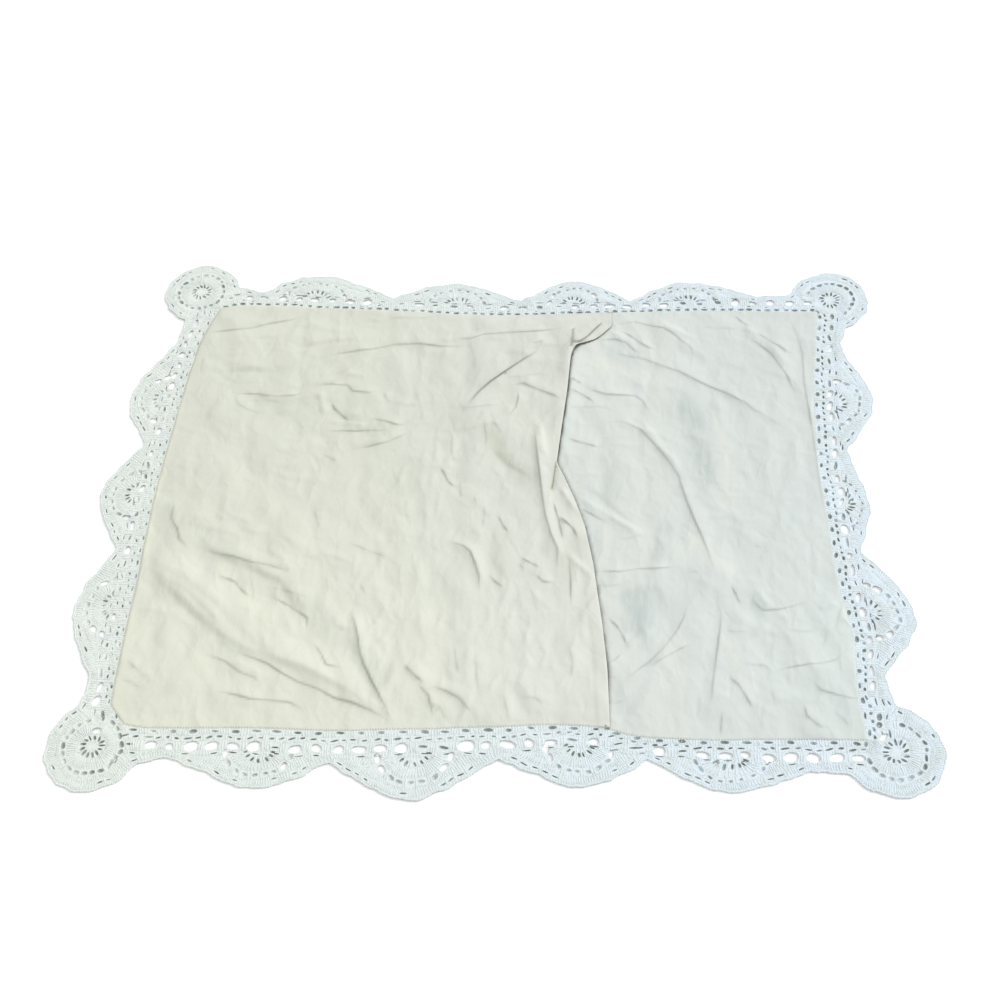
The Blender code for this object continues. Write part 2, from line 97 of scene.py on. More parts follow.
# edge: (along, outside the nominal side); fans: (along, depth of tip); valleys: (along, depth).
SIDES = {
    "bottom": Side(
        axis=0, outward=-1, start="bottom_left", end="bottom_right",
        edge=((-322, -5), (-300, -2), (-200, -4), (-130, -3), (-60, -6), (0, -9), (60, -13),
              (104, -12), (120, -5), (150, -2), (200, -1), (250, -3), (332, -4)),
        fans=((-195, 57), (-58, 66), (85, 57), (215, 48)),
        valleys=((-268, 30), (-133, 31), (15, 30), (145, 20), (285, 29))),
    "right": Side(
        axis=1, outward=1, start="bottom_right", end="top_right",
        edge=((-250, 2), (-200, -2), (-150, 0), (-100, -8), (-50, -12), (0, -14), (50, -17),
              (100, -16), (150, -13), (200, -8), (250, -2)),
        fans=((-120, 61), (0, 42), (125, 58)),
        valleys=((-185, 25), (-55, 27), (65, 30), (195, 27))),
    "top": Side(
        axis=0, outward=1, start="top_left", end="top_right",
        edge=((-320, 5), (-300, 9), (-250, 8), (-200, 4), (-150, 2), (-100, -2), (-50, -6),
              (0, -8), (50, -6), (100, -4), (200, -2), (328, -4)),
        fans=((-215, 49), (-58, 46), (68, 49), (190, 43)),
        valleys=((-275, 22), (-130, 20), (10, 21), (130, 18), (265, 23))),
    "left": Side(
        axis=1, outward=-1, start="bottom_left", end="top_left",
        edge=((-249, -8), (-232, 8), (-200, 10), (-150, 11), (-100, 11), (-50, 13), (0, 14),
              (50, 13), (100, 11), (150, 9), (200, 5), (225, 1), (259, -10)),
        fans=((-125, 54), (5, 55), (130, 56)),
        valleys=((-200, 25), (-60, 27), (70, 25), (205, 27))),
}

# The way round, anticlockwise: a side, whether it runs backwards, the corner that ends it there
# and the side that follows.
ROUTE = (("bottom", False, "bottom_right", "right"), ("right", False, "top_right", "top"),
         ("top", True, "top_left", "left"), ("left", True, "bottom_left", "bottom"))

# The wide back panel's opening edge, from the top seam to the bottom seam.
OPENING_EDGE = ((110, 249), (110, 229), (98, 214), (88, 206), (78, 204), (71, 197), (68, 186),
                (67, 170), (65, 135), (60, 80), (57, 45), (66, 25), (76, 0), (86, -30), (95, -75),
                (99, -105), (104, -140), (109, -185), (112, -250))

WIDE_FOLDS = (
    Fold(3.6, 5, 15, ((-84, -239), (-110, -222), (-150, -202), (-190, -180), (-222, -152),
                      (-252, -122), (-290, -95), (-340, -68))),
    Fold(2.6, 9, 3, ((-126, -132), (-118, -165), (-105, -195), (-86, -230))),
    Fold(3.4, 11, 2.5, ((32, 192), (15, 176), (-14, 149), (-35, 121))),
    Fold(3.2, 8, 2.5, ((33, 95), (37, 60), (43, 10), (52, -38), (62, -64), (61, -82))),
    Fold(3.6, 16, 14, ((64, 232), (65, 190), (60, 130), (53, 45), (51, 12))),
    Fold(1.2, 6, 10, ((72, 0), (90, -75), (105, -185), (109, -246))),
    Fold(2.2, 7, 3, ((-44, -50), (-22, -62), (-12, -90), (-11, -106))),
    Fold(-1.6, 5, 7, ((-330, 223), (-280, 227), (-240, 240), (-215, 250))),
    Fold(-1.6, 9, 5, ((-322, 164), (-275, 167), (-235, 166))),
    Fold(-1.5, 6, 6, ((-290, 152), (-283, 136), (-240, 133), (-205, 140), (-150, 158))),
    Fold(-1.6, 5, 5, ((-182, 126), (-170, 108), (-155, 98))),
    Fold(1.6, 9, 5, ((-205, 193), (-140, 205), (-95, 211), (-40, 208), (0, 222), (60, 232))),
    Fold(1.7, 8, 4, ((8, 150), (25, 150), (60, 129))),
    Fold(-1.7, 8, 8, ((-16, 96), (-8, 64), (8, 44), (35, 25))),
    Fold(1.8, 8, 4, ((-280, -58), (-232, -72), (-180, -84))),
    Fold(-1.6, 7, 7, ((-260, -92), (-228, -112), (-190, -122), (-170, -137), (-167, -155))),
    Fold(2.0, 7, 4, ((-75, -182), (-55, -201), (-42, -234))),
    Fold(1.9, 7, 4, ((-46, -203), (-22, -214), (-8, -230))),
    Fold(-1.4, 5, 5, ((-29, -155), (-27, -180), (-23, -200))),
    Fold(-1.4, 5, 5, ((-11, -168), (-8, -195), (-4, -218))),
)
NARROW_FOLDS = (
    Fold(3.6, 10, 3, ((120, 99), (141, 88), (160, 60), (177, 30), (186, 0), (197, -40),
                      (208, -80), (214, -94))),
    Fold(3.2, 7, 7, ((84, 6), (105, -14), (145, -42))),
    Fold(3.4, 8, 8, ((240, 240), (268, 211), (290, 176), (299, 138))),
    Fold(3.0, 15, 3, ((112, 195), (145, 182), (195, 155), (245, 124), (282, 93))),
    Fold(2.4, 11, 3, ((118, 231), (150, 229), (183, 208), (195, 184))),
    Fold(1.9, 8, 3, ((82, 149), (105, 135), (142, 126), (151, 108))),
    Fold(2.2, 3, 8, ((106, -83), (135, -81), (175, -77), (200, -70))),
    Fold(4.2, 6, 6, ((188, -88), (212, -100), (220, -122), (242, -141))),
    Fold(2.6, 9, 9, ((210, -72), (240, -95), (257, -119))),
    Fold(2.8, 10, 3, ((213, -110), (209, -160), (202, -200), (199, -228))),
    Fold(2.2, 3, 9, ((124, -198), (150, -175), (172, -145), (183, -116))),
    Fold(2.7, 3, 9, ((236, -193), (270, -184), (310, -178), (326, -158))),
    Fold(2.2, 7, 7, ((216, -150), (222, -180), (237, -224))),
    Fold(-1.6, 6, 6, ((286, -190), (300, -205), (330, -210))),
    Fold(-1.5, 7, 7, ((244, -103), (244, -118), (262, -121), (290, -113))),
    Fold(1.8, 14, 14, ((184, 142), (214, 116), (220, 70), (214, 30))),
)

# ---------------------------------------------------------------- the cloth's finer creases

# A crease is a small step whose high side faces the window. rise: height of the step; step:
# half its width; run: how far the high side takes to settle; shade: painted shade along the line;
# width: half width of the painted shade line.
Kind = namedtuple("Kind", "rise step run shade width")
KINDS = {
    "lap": Kind(1.4, 0.5, 12.0, 0.85, 0.75),
    "dark": Kind(1.2, 0.6, 6.0, 0.95, 1.5),
    "sharp": Kind(1.1, 0.6, 6.0, 0.25, 0.8),
    "clear": Kind(0.85, 0.6, 6.0, 0.20, 0.7),
    "soft": Kind(1.1, 2.6, 10.0, 0.06, 0.7),
    "faint": Kind(0.6, 1.3, 5.0, 0.08, 0.7),
    "crest": Kind(1.5, 2.8, 2.8, 0.0, 0.7),
    "broad": Kind(2.2, 3.0, 26.0, 0.03, 0.7),
}
# Kinds whose step isn't crisp, so that the grid isn't drawn to it.
BLUNT_KINDS = ("soft", "crest", "broad")
WINDOW_SIDE = (0.8, 0.6)
# How a crease fades at its ends: the share of its length that fades, and the share left there.
CREASE_ENDS = (0.25, 0.1)
LAP_ENDS = (0.06, 0.6)
# How much a crease's height wavers, how fast along it, and by how much the next one's is shifted.
UNEVENNESS = 0.28
WAVER_ALONG = 11.0
WAVER_BETWEEN = 1.7
# Where the painted shade line lies beside a step, as a share of the step's half width, and how
# steeply the high side falls.
LINE_PLACE = 0.4
FALL_POWER = 1.5

# kind and path; the high side of a lap is on the left of its path.
WIDE_CREASES = (
    ("broad", ((-338, -84), (-310, -104), (-282, -130), (-257, -151), (-224, -172), (-170, -190),
               (-125, -212), (-84, -239))),
    ("broad", ((-290, -56), (-245, -76), (-203, -96), (-180, -124), (-160, -152))),
    ("lap", ((75, 201), (85, 213), (94, 226), (99, 233))),
    ("lap", ((68, 196), (69, 209), (69, 225))),
    ("lap", ((53, 12), (55, 28), (57, 45))),
    ("dark", ((32, 192), (25, 184), (15, 176), (0, 162), (-14, 149), (-26, 136), (-35, 121))),
    ("sharp", ((33, 95), (36, 65), (40, 35), (44, 5), (48, -20), (54, -42), (61, -60), (61, -80))),
    ("sharp", ((-235, -173), (-215, -180), (-200, -186), (-185, -196), (-170, -204), (-150, -211),
               (-135, -219), (-120, -223), (-100, -231), (-82, -241))),
    ("sharp", ((-130, -130), (-124, -143), (-119, -160), (-116, -175), (-110, -188), (-102, -203),
               (-92, -220), (-80, -240))),
    ("sharp", ((-44, -50), (-30, -55), (-22, -62), (-17, -75), (-12, -90), (-11, -105))),
    ("sharp", ((-180, 125), (-175, 115), (-165, 105), (-158, 99))),
    ("clear", ((-330, 223), (-300, 225), (-280, 228), (-262, 235), (-240, 241), (-225, 246))),
    ("soft", ((-320, 164), (-300, 166), (-275, 168), (-255, 168), (-235, 165))),
    ("faint", ((-325, 190), (-326, 175), (-325, 163))),
    ("clear", ((-285, 136), (-260, 135), (-240, 132), (-220, 132), (-205, 139))),
    ("faint", ((-270, 126), (-250, 127), (-230, 124))),
    ("faint", ((-290, 150), (-285, 137), (-277, 120), (-262, 112), (-245, 108))),
    ("soft", ((-235, 197), (-215, 203), (-190, 208), (-175, 210), (-155, 211))),
    ("clear", ((-200, 185), (-180, 190), (-160, 193), (-140, 197), (-120, 203), (-95, 204),
               (-70, 200), (-40, 201))),
    ("clear", ((-195, 147), (-180, 148), (-165, 146), (-158, 138), (-140, 136), (-128, 141))),
    ("clear", ((-180, 85), (-150, 85), (-130, 86), (-115, 86))),
    ("clear", ((-145, 62), (-130, 66), (-115, 71), (-100, 80), (-95, 85))),
    ("faint", ((-178, 55), (-170, 50), (-163, 46))),
    ("clear", ((-135, 102), (-120, 98), (-108, 93), (-97, 94))),
    ("faint", ((-128, 140), (-122, 128), (-116, 122))),
    ("faint", ((-135, 243), (-115, 243), (-95, 242), (-80, 246))),
    ("clear", ((-55, 213), (-40, 210), (-25, 217), (0, 219), (20, 220), (40, 223), (62, 226))),
    ("faint", ((-47, 121), (-40, 115), (-28, 116), (-15, 119), (0, 121))),
    ("clear", ((14, 139), (15, 128), (13, 115), (7, 106))),
    ("clear", ((8, 146), (20, 147), (30, 142), (45, 134), (60, 125))),
    ("faint", ((0, 155), (20, 157), (35, 161), (45, 158))),
    ("faint", ((-20, 105), (-17, 90), (-15, 75), (-14, 62))),
    ("faint", ((-12, 99), (-5, 92), (0, 82))),
    ("soft", ((-8, 64), (0, 55), (8, 44), (20, 35), (35, 25))),
    ("faint", ((16, 200), (18, 190), (17, 182))),
    ("faint", ((40, 210), (32, 195))),
    ("clear", ((-60, 40), (-55, 33), (-50, 22), (-42, 14))),
    ("faint", ((-38, 20), (-35, 0))),
    ("faint", ((-50, 85), (-49, 60), (-47, 50))),
    ("faint", ((-22, 5), (-20, -10))),
    ("faint", ((-13, -8), (-11, -20), (-12, -35))),
    ("clear", ((2, -20), (8, -32), (14, -40))),
    ("clear", ((-3, -88), (3, -95), (12, -102))),
    ("clear", ((25, -68), (35, -74), (45, -80))),
    ("faint", ((25, -75), (30, -82))),
    ("clear", ((42, -88), (48, -95), (58, -96))),
    ("clear", ((-258, -177), (-240, -184), (-225, -195), (-210, -201), (-203, -206))),
    ("clear", ((-245, -214), (-225, -218), (-210, -222), (-190, -223), (-175, -224), (-160, -232))),
    ("soft", ((-340, -77), (-325, -88), (-310, -98), (-290, -108), (-275, -122), (-258, -138),
              (-253, -150), (-250, -165))),
    ("clear", ((-322, -8), (-321, -25), (-312, -38), (-308, -50), (-295, -62))),
    ("clear", ((-280, -62), (-270, -66), (-250, -71), (-232, -77), (-215, -80), (-195, -87))),
    ("clear", ((-260, -92), (-245, -98), (-238, -106), (-228, -115))),
    ("clear", ((-205, -115), (-190, -123), (-180, -130), (-170, -137), (-168, -153))),
    ("faint", ((-215, -103), (-200, -106), (-185, -111), (-170, -115))),
    ("faint", ((-180, -12), (-172, -35))),
    ("faint", ((-140, -52), (-125, -59), (-110, -65), (-100, -70))),
    ("clear", ((-160, -165), (-152, -175), (-145, -188), (-130, -190))),
    ("faint", ((-335, -182), (-325, -190), (-315, -198))),
    ("faint", ((-335, -204), (-325, -206), (-313, -213))),
    ("clear", ((-75, -185), (-65, -195), (-55, -203))),
    ("clear", ((-60, -205), (-50, -215), (-44, -235))),
    ("clear", ((-48, -206), (-35, -211), (-22, -218), (-10, -232))),
    ("faint", ((-42, -222), (-37, -230), (-32, -240))),
    ("faint", ((-30, -165), (-28, -180), (-24, -195))),
    ("faint", ((-10, -175), (-8, -195), (-5, -215))),
    ("faint", ((18, -215), (21, -228), (23, -240))),
    ("faint", ((75, -165), (78, -180), (77, -195))),
    ("faint", ((33, -216), (45, -216), (55, -223))),
    ("faint", ((-125, -98), (-118, -110))),
    ("sharp", ((60, -20), (68, -27), (75, -35), (80, -45))),
    ("clear", ((55, -2), (58, -14), (62, -30), (66, -50))),
    ("clear", ((72, -70), (74, -90), (75, -120))),
    ("crest", ((70, -60), (75, -70), (85, -80), (95, -90))),
    ("crest", ((37, 100), (40, 80), (43, 60), (48, 50))),
    ("crest", ((62, 15), (70, 0), (78, -15))),
    ("crest", ((-205, 148), (-180, 152), (-165, 163), (-150, 158))),
    ("crest", ((-185, 158), (-160, 170), (-140, 182), (-125, 190))),
    ("crest", ((-195, 140), (-190, 125), (-183, 105))),
    ("crest", ((-180, 98), (-160, 95), (-145, 92), (-130, 90))),
    ("crest", ((-150, 65), (-125, 72), (-105, 83))),
    ("crest", ((-235, -178), (-225, -188), (-210, -195), (-205, -203))),
)
NARROW_CREASES = (
    ("clear", ((105, 97), (120, 99), (130, 94), (140, 88), (150, 75), (160, 60), (170, 43),
               (177, 30), (180, 15), (184, 0), (190, -20), (197, -40), (203, -60), (211, -90))),
    ("clear", ((110, 195), (115, 190), (130, 186), (145, 182), (160, 174), (180, 165), (195, 155),
               (210, 145), (225, 137), (245, 124), (255, 113), (265, 107), (275, 97), (282, 93))),
    ("clear", ((213, -115), (211, -140), (208, -160), (205, -180), (202, -200), (200, -220))),
    ("clear", ((109, -132), (118, -142), (123, -152), (127, -162))),
    ("clear", ((320, -162), (312, -172), (300, -176), (285, -178), (270, -181), (255, -186))),
    ("clear", ((112, 232), (120, 233), (135, 236), (150, 230), (165, 226), (175, 218), (183, 208),
               (192, 200), (195, 190), (194, 182))),
    ("clear", ((95, 209), (115, 210), (125, 205), (135, 193), (140, 188))),
    ("clear", ((120, 222), (130, 215), (140, 205), (150, 198), (158, 195))),
    ("faint", ((205, 229), (220, 226), (235, 226), (250, 222))),
    ("clear", ((240, 246), (247, 236), (255, 228))),
    ("clear", ((250, 215), (262, 205), (275, 190), (283, 175), (290, 160), (294, 145), (298, 137))),
    ("clear", ((260, 222), (275, 207), (285, 200), (293, 192), (300, 190))),
    ("clear", ((300, 235), (303, 220), (306, 207), (308, 190), (307, 150), (309, 120), (312, 60),
               (313, 20), (318, -60))),
    ("clear", ((80, 147), (90, 140), (105, 134), (120, 133), (135, 132), (142, 126), (146, 118),
               (150, 110))),
    ("clear", ((68, 155), (80, 148))),
    ("clear", ((68, 140), (80, 134), (88, 128), (95, 122))),
    ("faint", ((65, 116), (85, 117), (100, 118), (115, 112))),
    ("clear", ((222, -95), (226, -105), (230, -116))),
    ("clear", ((67, 76), (75, 73), (90, 68), (100, 65))),
    ("soft", ((80, 20), (100, 5), (110, -5), (125, -20), (140, -33))),
    ("clear", ((80, -8), (95, -18), (105, -25))),
    ("faint", ((120, -47), (132, -42), (142, -40))),
    ("clear", ((97, -82), (120, -82), (135, -79), (155, -78), (175, -75))),
    ("faint", ((100, -97), (110, -98), (125, -95))),
    ("faint", ((182, -83), (188, -80), (195, -84))),
    ("clear", ((124, -198), (135, -188), (150, -175), (160, -163), (172, -145), (178, -132),
               (182, -118))),
    ("clear", ((108, -182), (115, -177), (122, -170))),
    ("faint", ((108, -195), (118, -193))),
    ("faint", ((111, -221), (122, -217), (130, -210))),
    ("clear", ((145, -185), (160, -173), (175, -163), (185, -158))),
    ("clear", ((209, -228), (207, -250))),
    ("clear", ((243, -103), (242, -113), (250, -122), (265, -121), (275, -118), (290, -113))),
    ("faint", ((215, -145), (235, -145))),
    ("clear", ((215, -190), (225, -200), (230, -210), (237, -224))),
    ("faint", ((228, -178), (245, -179), (255, -182))),
    ("clear", ((288, -192), (296, -203), (310, -207), (325, -210), (332, -210))),
    ("clear", ((280, -217), (282, -228), (290, -236), (297, -240))),
    ("faint", ((305, -223), (313, -230), (318, -237))),
    ("faint", ((306, -140), (305, -150), (301, -162))),
    ("faint", ((324, -112), (318, -128), (313, -145))),
    ("faint", ((320, -127), (328, -138), (330, -152))),
    ("faint", ((272, -142), (285, -144), (297, -142))),
    ("faint", ((253, -203), (256, -218))),
    ("faint", ((245, -50), (255, -54))),
    ("crest", ((75, 8), (90, -5), (105, -15), (120, -26), (135, -36), (145, -42))),
    ("crest", ((142, 100), (148, 88), (155, 75), (162, 62), (172, 47), (180, 32), (186, 20))),
    ("crest", ((245, -100), (252, -112), (258, -118))),
    ("crest", ((235, -152), (245, -145), (255, -135), (265, -127), (275, -130))),
    ("crest", ((240, 235), (255, 222), (268, 210), (280, 192), (290, 175), (296, 168))),
    ("crest", ((158, 240), (170, 228), (185, 218), (200, 210))),
    ("crest", ((105, 222), (120, 215), (130, 205), (140, 193), (150, 187))),
    ("crest", ((125, -165), (140, -150), (150, -145))),
    ("crest", ((300, -120), (320, -112))),
)

# Small crumples, scattered where the cloth shows them: (middle, spread, direction in degrees,
# how many). Directions are measured from +X.
WIDE_CRUMPLES = (
    ((-230, 185), (95, 60), 5, 44), ((-120, 90), (110, 60), 15, 34),
    ((-250, 20), (80, 70), -25, 34), ((-230, -130), (95, 80), -38, 56),
    ((-60, -60), (80, 90), 82, 56), ((-20, 120), (70, 90), 70, 40),
    ((-40, -190), (90, 50), 75, 46), ((60, -120), (30, 90), 80, 26),
    ((-60, 215), (100, 28), 8, 26),
)
NARROW_CRUMPLES = (
    ((190, 190), (110, 50), -25, 40), ((140, 60), (70, 60), -20, 34),
    ((250, 60), (60, 90), -12, 44), ((160, -130), (60, 80), 50, 38),
    ((265, -180), (60, 55), -30, 44), ((250, -60), (60, 60), -30, 34),
    ((275, 20), (35, 110), 84, 22),
)
# How crumples fade at their ends, and how far they stray from their direction, in degrees.
CRUMPLE_ENDS = (0.4, 0.0)
CRUMPLE_TURN = 16.0
CRUMPLE_LENGTH = (14.0, 62.0)
CRUMPLE_RISE = (0.3, 0.9)
CRUMPLE_STEP = 1.4
CRUMPLE_RUN = 4.5

# Soft patches of painted shade and painted light along a path, following the lit and shaded bands
# of the folds: amount (above 0 painted shade, darker and cooler; below 0 painted light, paler),
# half width. They fade at their ends as creases do.
PaintedLightShade = namedtuple("PaintedLightShade", "amount width path")
PAINTED_LIGHT_SHADE_ENDS = (0.2, 0.3)
WIDE_PAINTED_LIGHT_SHADES = (
    PaintedLightShade(0.40, 13, ((-321, -17), (-272, -52), (-231, -80), (-190, -108), (-158, -138), (-120, -180),
                    (-87, -220))),
    PaintedLightShade(0.40, 9, ((-341, -84), (-296, -118), (-251, -155), (-226, -176), (-200, -195))),
    PaintedLightShade(-0.30, 15, ((-336, -60), (-286, -85), (-237, -110), (-188, -148), (-145, -190),
                     (-104, -222))),
    PaintedLightShade(0.35, 12, ((-120, -145), (-108, -180), (-87, -220))),
    PaintedLightShade(0.45, 12, ((-330, -2), (-315, -25), (-303, -41))),
    PaintedLightShade(0.35, 14, ((-318, -197), (-300, -208), (-282, -224))),
    PaintedLightShade(0.30, 10, ((-312, 163), (-255, 166), (-198, 172))),
    PaintedLightShade(0.35, 10, ((-277, 128), (-230, 124), (-179, 128))),
    PaintedLightShade(0.50, 10, ((-178, 125), (-165, 105), (-140, 92), (-118, 85))),
    PaintedLightShade(0.35, 12, ((-102, 59), (-90, 30), (-76, 0))),
    PaintedLightShade(0.70, 9, ((-24, 104), (-12, 80), (0, 59), (20, 38), (41, 17))),
    PaintedLightShade(-0.2, 16, ((-55, -100), (-45, -165), (-32, -238))),
    PaintedLightShade(-0.35, 20, ((-5, 146), (30, 95), (60, 60))),
    PaintedLightShade(-0.4, 8, ((-333, 240), (-344, 100), (-342, -60), (-336, -230))),
    PaintedLightShade(0.95, 3, ((57, 45), (56, 25), (53, 5))),
)
NARROW_PAINTED_LIGHT_SHADES = (
    PaintedLightShade(0.40, 14, ((92, 102), (108, 45), (113, -22))),
    PaintedLightShade(0.80, 12, ((180, 138), (192, 105), (200, 70), (206, 3))),
    PaintedLightShade(0.50, 10, ((165, -21), (158, -50), (151, -75))),
    PaintedLightShade(0.70, 17, ((130, -95), (138, -120), (138, -155))),
    PaintedLightShade(-0.4, 14, ((213, 111), (222, 45), (222, -21))),
    PaintedLightShade(-0.4, 12, ((183, -36), (205, -60), (231, -88))),
    PaintedLightShade(-0.35, 16, ((77, 183), (120, 165), (173, 150))),
    PaintedLightShade(0.55, 9, ((224, -96), (240, -115), (259, -131))),
    PaintedLightShade(0.35, 16, ((279, -186), (300, -205), (327, -237))),
    PaintedLightShade(-0.4, 7, ((210, -146), (225, -180), (243, -213))),
    PaintedLightShade(0.50, 5, ((322, 215), (320, 100), (318, 28), (330, -150))),
)

# ---------------------------------------------------------------- cloth sheets

# Columns and rows of the panels' grids. The rows are fitted between the cloth's edges in a few
# rounds, from a first guess of the cloth's width.
WIDE_GRID = (188, 230)
NARROW_GRID = (145, 230)
FRONT_GRID = (84, 64)
GRID_GUESS = 600.0
GRID_ROUNDS = 4
HIDDEN_COLUMNS = 14
NARROW_HIDDEN_SHARE = 0.2
EDGE_CROWDING = 0.18
# Grid points within this reach of a crisp crease are drawn to it.
MAGNET_REACH = 7.0
MAGNET_POWER = 2.1
SHEET_THICKNESS = 0.6
FRONT_TOP = 0.8
FRONT_WAVES = 0.12
# The opening edge rolls under in these steps, tighter at its hem than at the pleat above and
# tightest where it is sewn down; the pleat starts, is full, ends and is gone at FOLD_SPAN.
EDGE_EASING = 2.6
EDGE_SAMPLES = 5
CURL_ANGLES = (30, 60, 90, 125, 160, 180)
CURL_RETURN = 4.0
CURL_PULL = 12.0
HEM_CURL = 0.7
SEWN_CURL = 0.4
FOLD_CURL = 1.25
FOLD_SPAN = (40.0, 60.0, 184.0, 197.0)
HEM_WIDTH = 12.0
HEM_RISE = 0.45
HEM_STEP = 1.6
# The narrow panel swells beside the pleat, starts to climb beside the opening edge and lies low
# at the seams, where it is tucked.
BULGE_RISE = 2.1
BULGE_PLACE = 2.5
BULGE_WIDTH = 9.0
COVER_START = 0.1
COVER_CLIMB = 1.8
SEAM_FLAT = 14.0
TUCKED_DROP = 0.7
BORDER_ROUNDING = 3.0
BORDER_DROP = 0.05
# Gentle waves: how many, the rise of one of the usual length, and their lengths.
WAVES = 14
WAVE_RISE = 0.13
WAVE_USUAL = 50.0
WAVE_LENGTHS = (22.0, 70.0)
# Spacing and rise of the facets, and how far their corners stray, as a share of the spacing.
FACETS = ((42.0, 1.1), (18.0, 0.22))
FACET_JITTER = 0.45
# How much of the folds, of the creases and of the small roughness each panel shows.
WIDE_SHARES = (0.48, 0.95, 0.82)
NARROW_SHARES = (0.17, 0.76, 0.48)
# Creases and roughness start this share of the seam's hold from the edge, and dip at most this
# share of the puff.
FINE_HOLD = 0.5
FINE_DIP = 0.8

# Painted shade in the gap beside the opening edge, from the bottom seam to the top one.
GAP_SHADE = ((-250, 0.40), (-120, 0.36), (0, 0.28), (40, 0.32), (50, 0.50), (100, 0.55),
             (190, 0.55), (198, 0.22), (215, 0.35), (241, 0.35), (249, 0.25))
# Where it starts to fade on the narrow panel, and over what width beside the hem and the pleat.
GAP_START = 0.4
GAP_WIDTHS = (0.6, 1.0)
# Its share of that painted shade on each step of the roll, and on the cloth that returns below.
CURL_SHADES = (0.10, 0.45, 0.85, 1.0, 1.0, 1.0, 1.0)
SMALLEST = 1e-6
TOLERANCE = 1e-9
MERGE_DISTANCE = 1e-4


def smooth_step(value):
    """0 below 0, 1 above 1, with level ends."""
    value = np.clip(value, 0.0, 1.0)
    return value * value * (3.0 - 2.0 * value)


def directions(angles):
    """Unit vectors of angles in radians."""
    return np.stack([np.cos(angles), np.sin(angles)], -1)


def pairs(xs, ys):
    """Every pair of an x and a y, one in a row."""
    x, y = np.meshgrid(xs, ys)
    return np.column_stack([x.ravel(), y.ravel()])


def table_value(rows, along):
    """Values of a table of (place, value) rows at places, eased from row to row."""
    stops = np.array([row[0] for row in rows], float)
    values = np.array([row[1] for row in rows], float)
    place = np.clip(along, stops[0], stops[-1])
    index = np.clip(np.searchsorted(stops, place, side="right") - 1, 0, len(rows) - 2)
    share = (place - stops[index]) / (stops[index + 1] - stops[index])
    return values[index] + (values[index + 1] - values[index]) * smooth_step(share)


def side_span(side):
    """Where a side starts and ends along its length."""
    return float(CORNERS[side.start][side.axis]), float(CORNERS[side.end][side.axis])


def stations(side):
    """Places along a side, one crochet cell apart, from corner to corner."""
    first, last = side_span(side)
    return np.linspace(first, last, round((last - first) / CELL_PITCH) + 1)


def cloth_depth(side, along):
    """Distance from the middle of the sham to the cloth's edge."""
    half = (CLOTH_HEIGHT if side.axis == 0 else CLOTH_WIDTH) / 2
    places = stations(side)
    return np.interp(along, places, half + table_value(side.edge, places))


def side_points(side, along, depth):
    """Points that lie given depths outside the cloth's edge."""
    across = side.outward * (cloth_depth(side, along) + depth)
    return np.stack([along, across] if side.axis == 0 else [across, along], -1)


def heading_depth(side, along):
    """Depth of the straight crochet heading."""
    return table_value(side.valleys, along)


def path_offset(points, path):
    """Offsets from a path, signed distance (positive on its left) and share of its length."""
    line = np.array(path, float)
    runs = np.diff(line, axis=0)
    lengths = np.linalg.norm(runs, axis=1)
    before = np.concatenate([[0.0], np.cumsum(lengths)])[:-1]
    best = np.full(len(points), np.inf)
    offset = np.zeros((len(points), 2))
    signed = np.zeros(len(points))
    share = np.zeros(len(points))
    for start, run, length, behind in zip(line[:-1], runs, lengths, before):
        reach = points - start
        part = np.clip(reach @ run / length ** 2, 0.0, 1.0)
        gap = reach - part[:, None] * run
        distance = np.linalg.norm(gap, axis=1)
        closer = distance < best
        best = np.where(closer, distance, best)
        offset[closer] = gap[closer]
        turn = run[0] * reach[:, 1] - run[1] * reach[:, 0]
        signed = np.where(closer, np.where(turn < 0, -distance, distance), signed)
        share = np.where(closer, (behind + part * length) / lengths.sum(), share)
    return offset, signed, share


def taper(share, end_share, end_height):
    """1 along a path, falling to end_height at its two ends."""
    ends = smooth_step(share / end_share) * smooth_step((1.0 - share) / end_share)
    return end_height + (1.0 - end_height) * ends


def fold_height(points, folds):
    """Sum of the source's folds."""
    height = np.zeros(len(points))
    for fold in folds:
        _, distance, share = path_offset(points, fold.path)
        width = np.where(distance > 0, fold.left, fold.right)
        height += (fold.rise * taper(share, FOLD_END_SHARE, FOLD_END_HEIGHT)
                   * np.exp(-(distance / width) ** 2))
    return height


def high_side(kind, path):
    """1 where the high side of a crease is on its path's left, -1 on its right."""
    if kind == "lap":
        return 1.0
    run = np.subtract(path[-1], path[0])
    return 1.0 if -run[1] * WINDOW_SIDE[0] + run[0] * WINDOW_SIDE[1] > 0 else -1.0


def step_profile(distance, rise, step, run):
    """Height beside a crease: a short step, then a slow fall on its high side."""
    climb = smooth_step((distance + step) / (2.0 * step))
    fall = np.clip(1.0 - (distance - step) / (2.0 * run), 0.0, 1.0)
    return rise * climb * fall ** FALL_POWER


def crease_height(points, creases):
    """Height of the traced creases, and the painted shade along their lines."""
    height = np.zeros(len(points))
    shade = np.zeros(len(points))
    for order, (name, path) in enumerate(creases):
        kind = KINDS[name]
        _, distance, share = path_offset(points, path)
        ends = taper(share, *(LAP_ENDS if name == "lap" else CREASE_ENDS))
        if name != "lap":
            waver = np.sin(WAVER_ALONG * share + WAVER_BETWEEN * order)
            ends = ends * (1.0 + UNEVENNESS * waver)
        if name == "crest":
            height += kind.rise * ends * np.exp(-(distance / kind.step) ** 2)
            continue
        distance = distance * high_side(name, path)
        height += ends * step_profile(distance, kind.rise, kind.step, kind.run)
        beside = (distance + LINE_PLACE * kind.step) / kind.width
        shade = np.maximum(shade, kind.shade * ends * np.exp(-beside ** 2))
    return height, shade


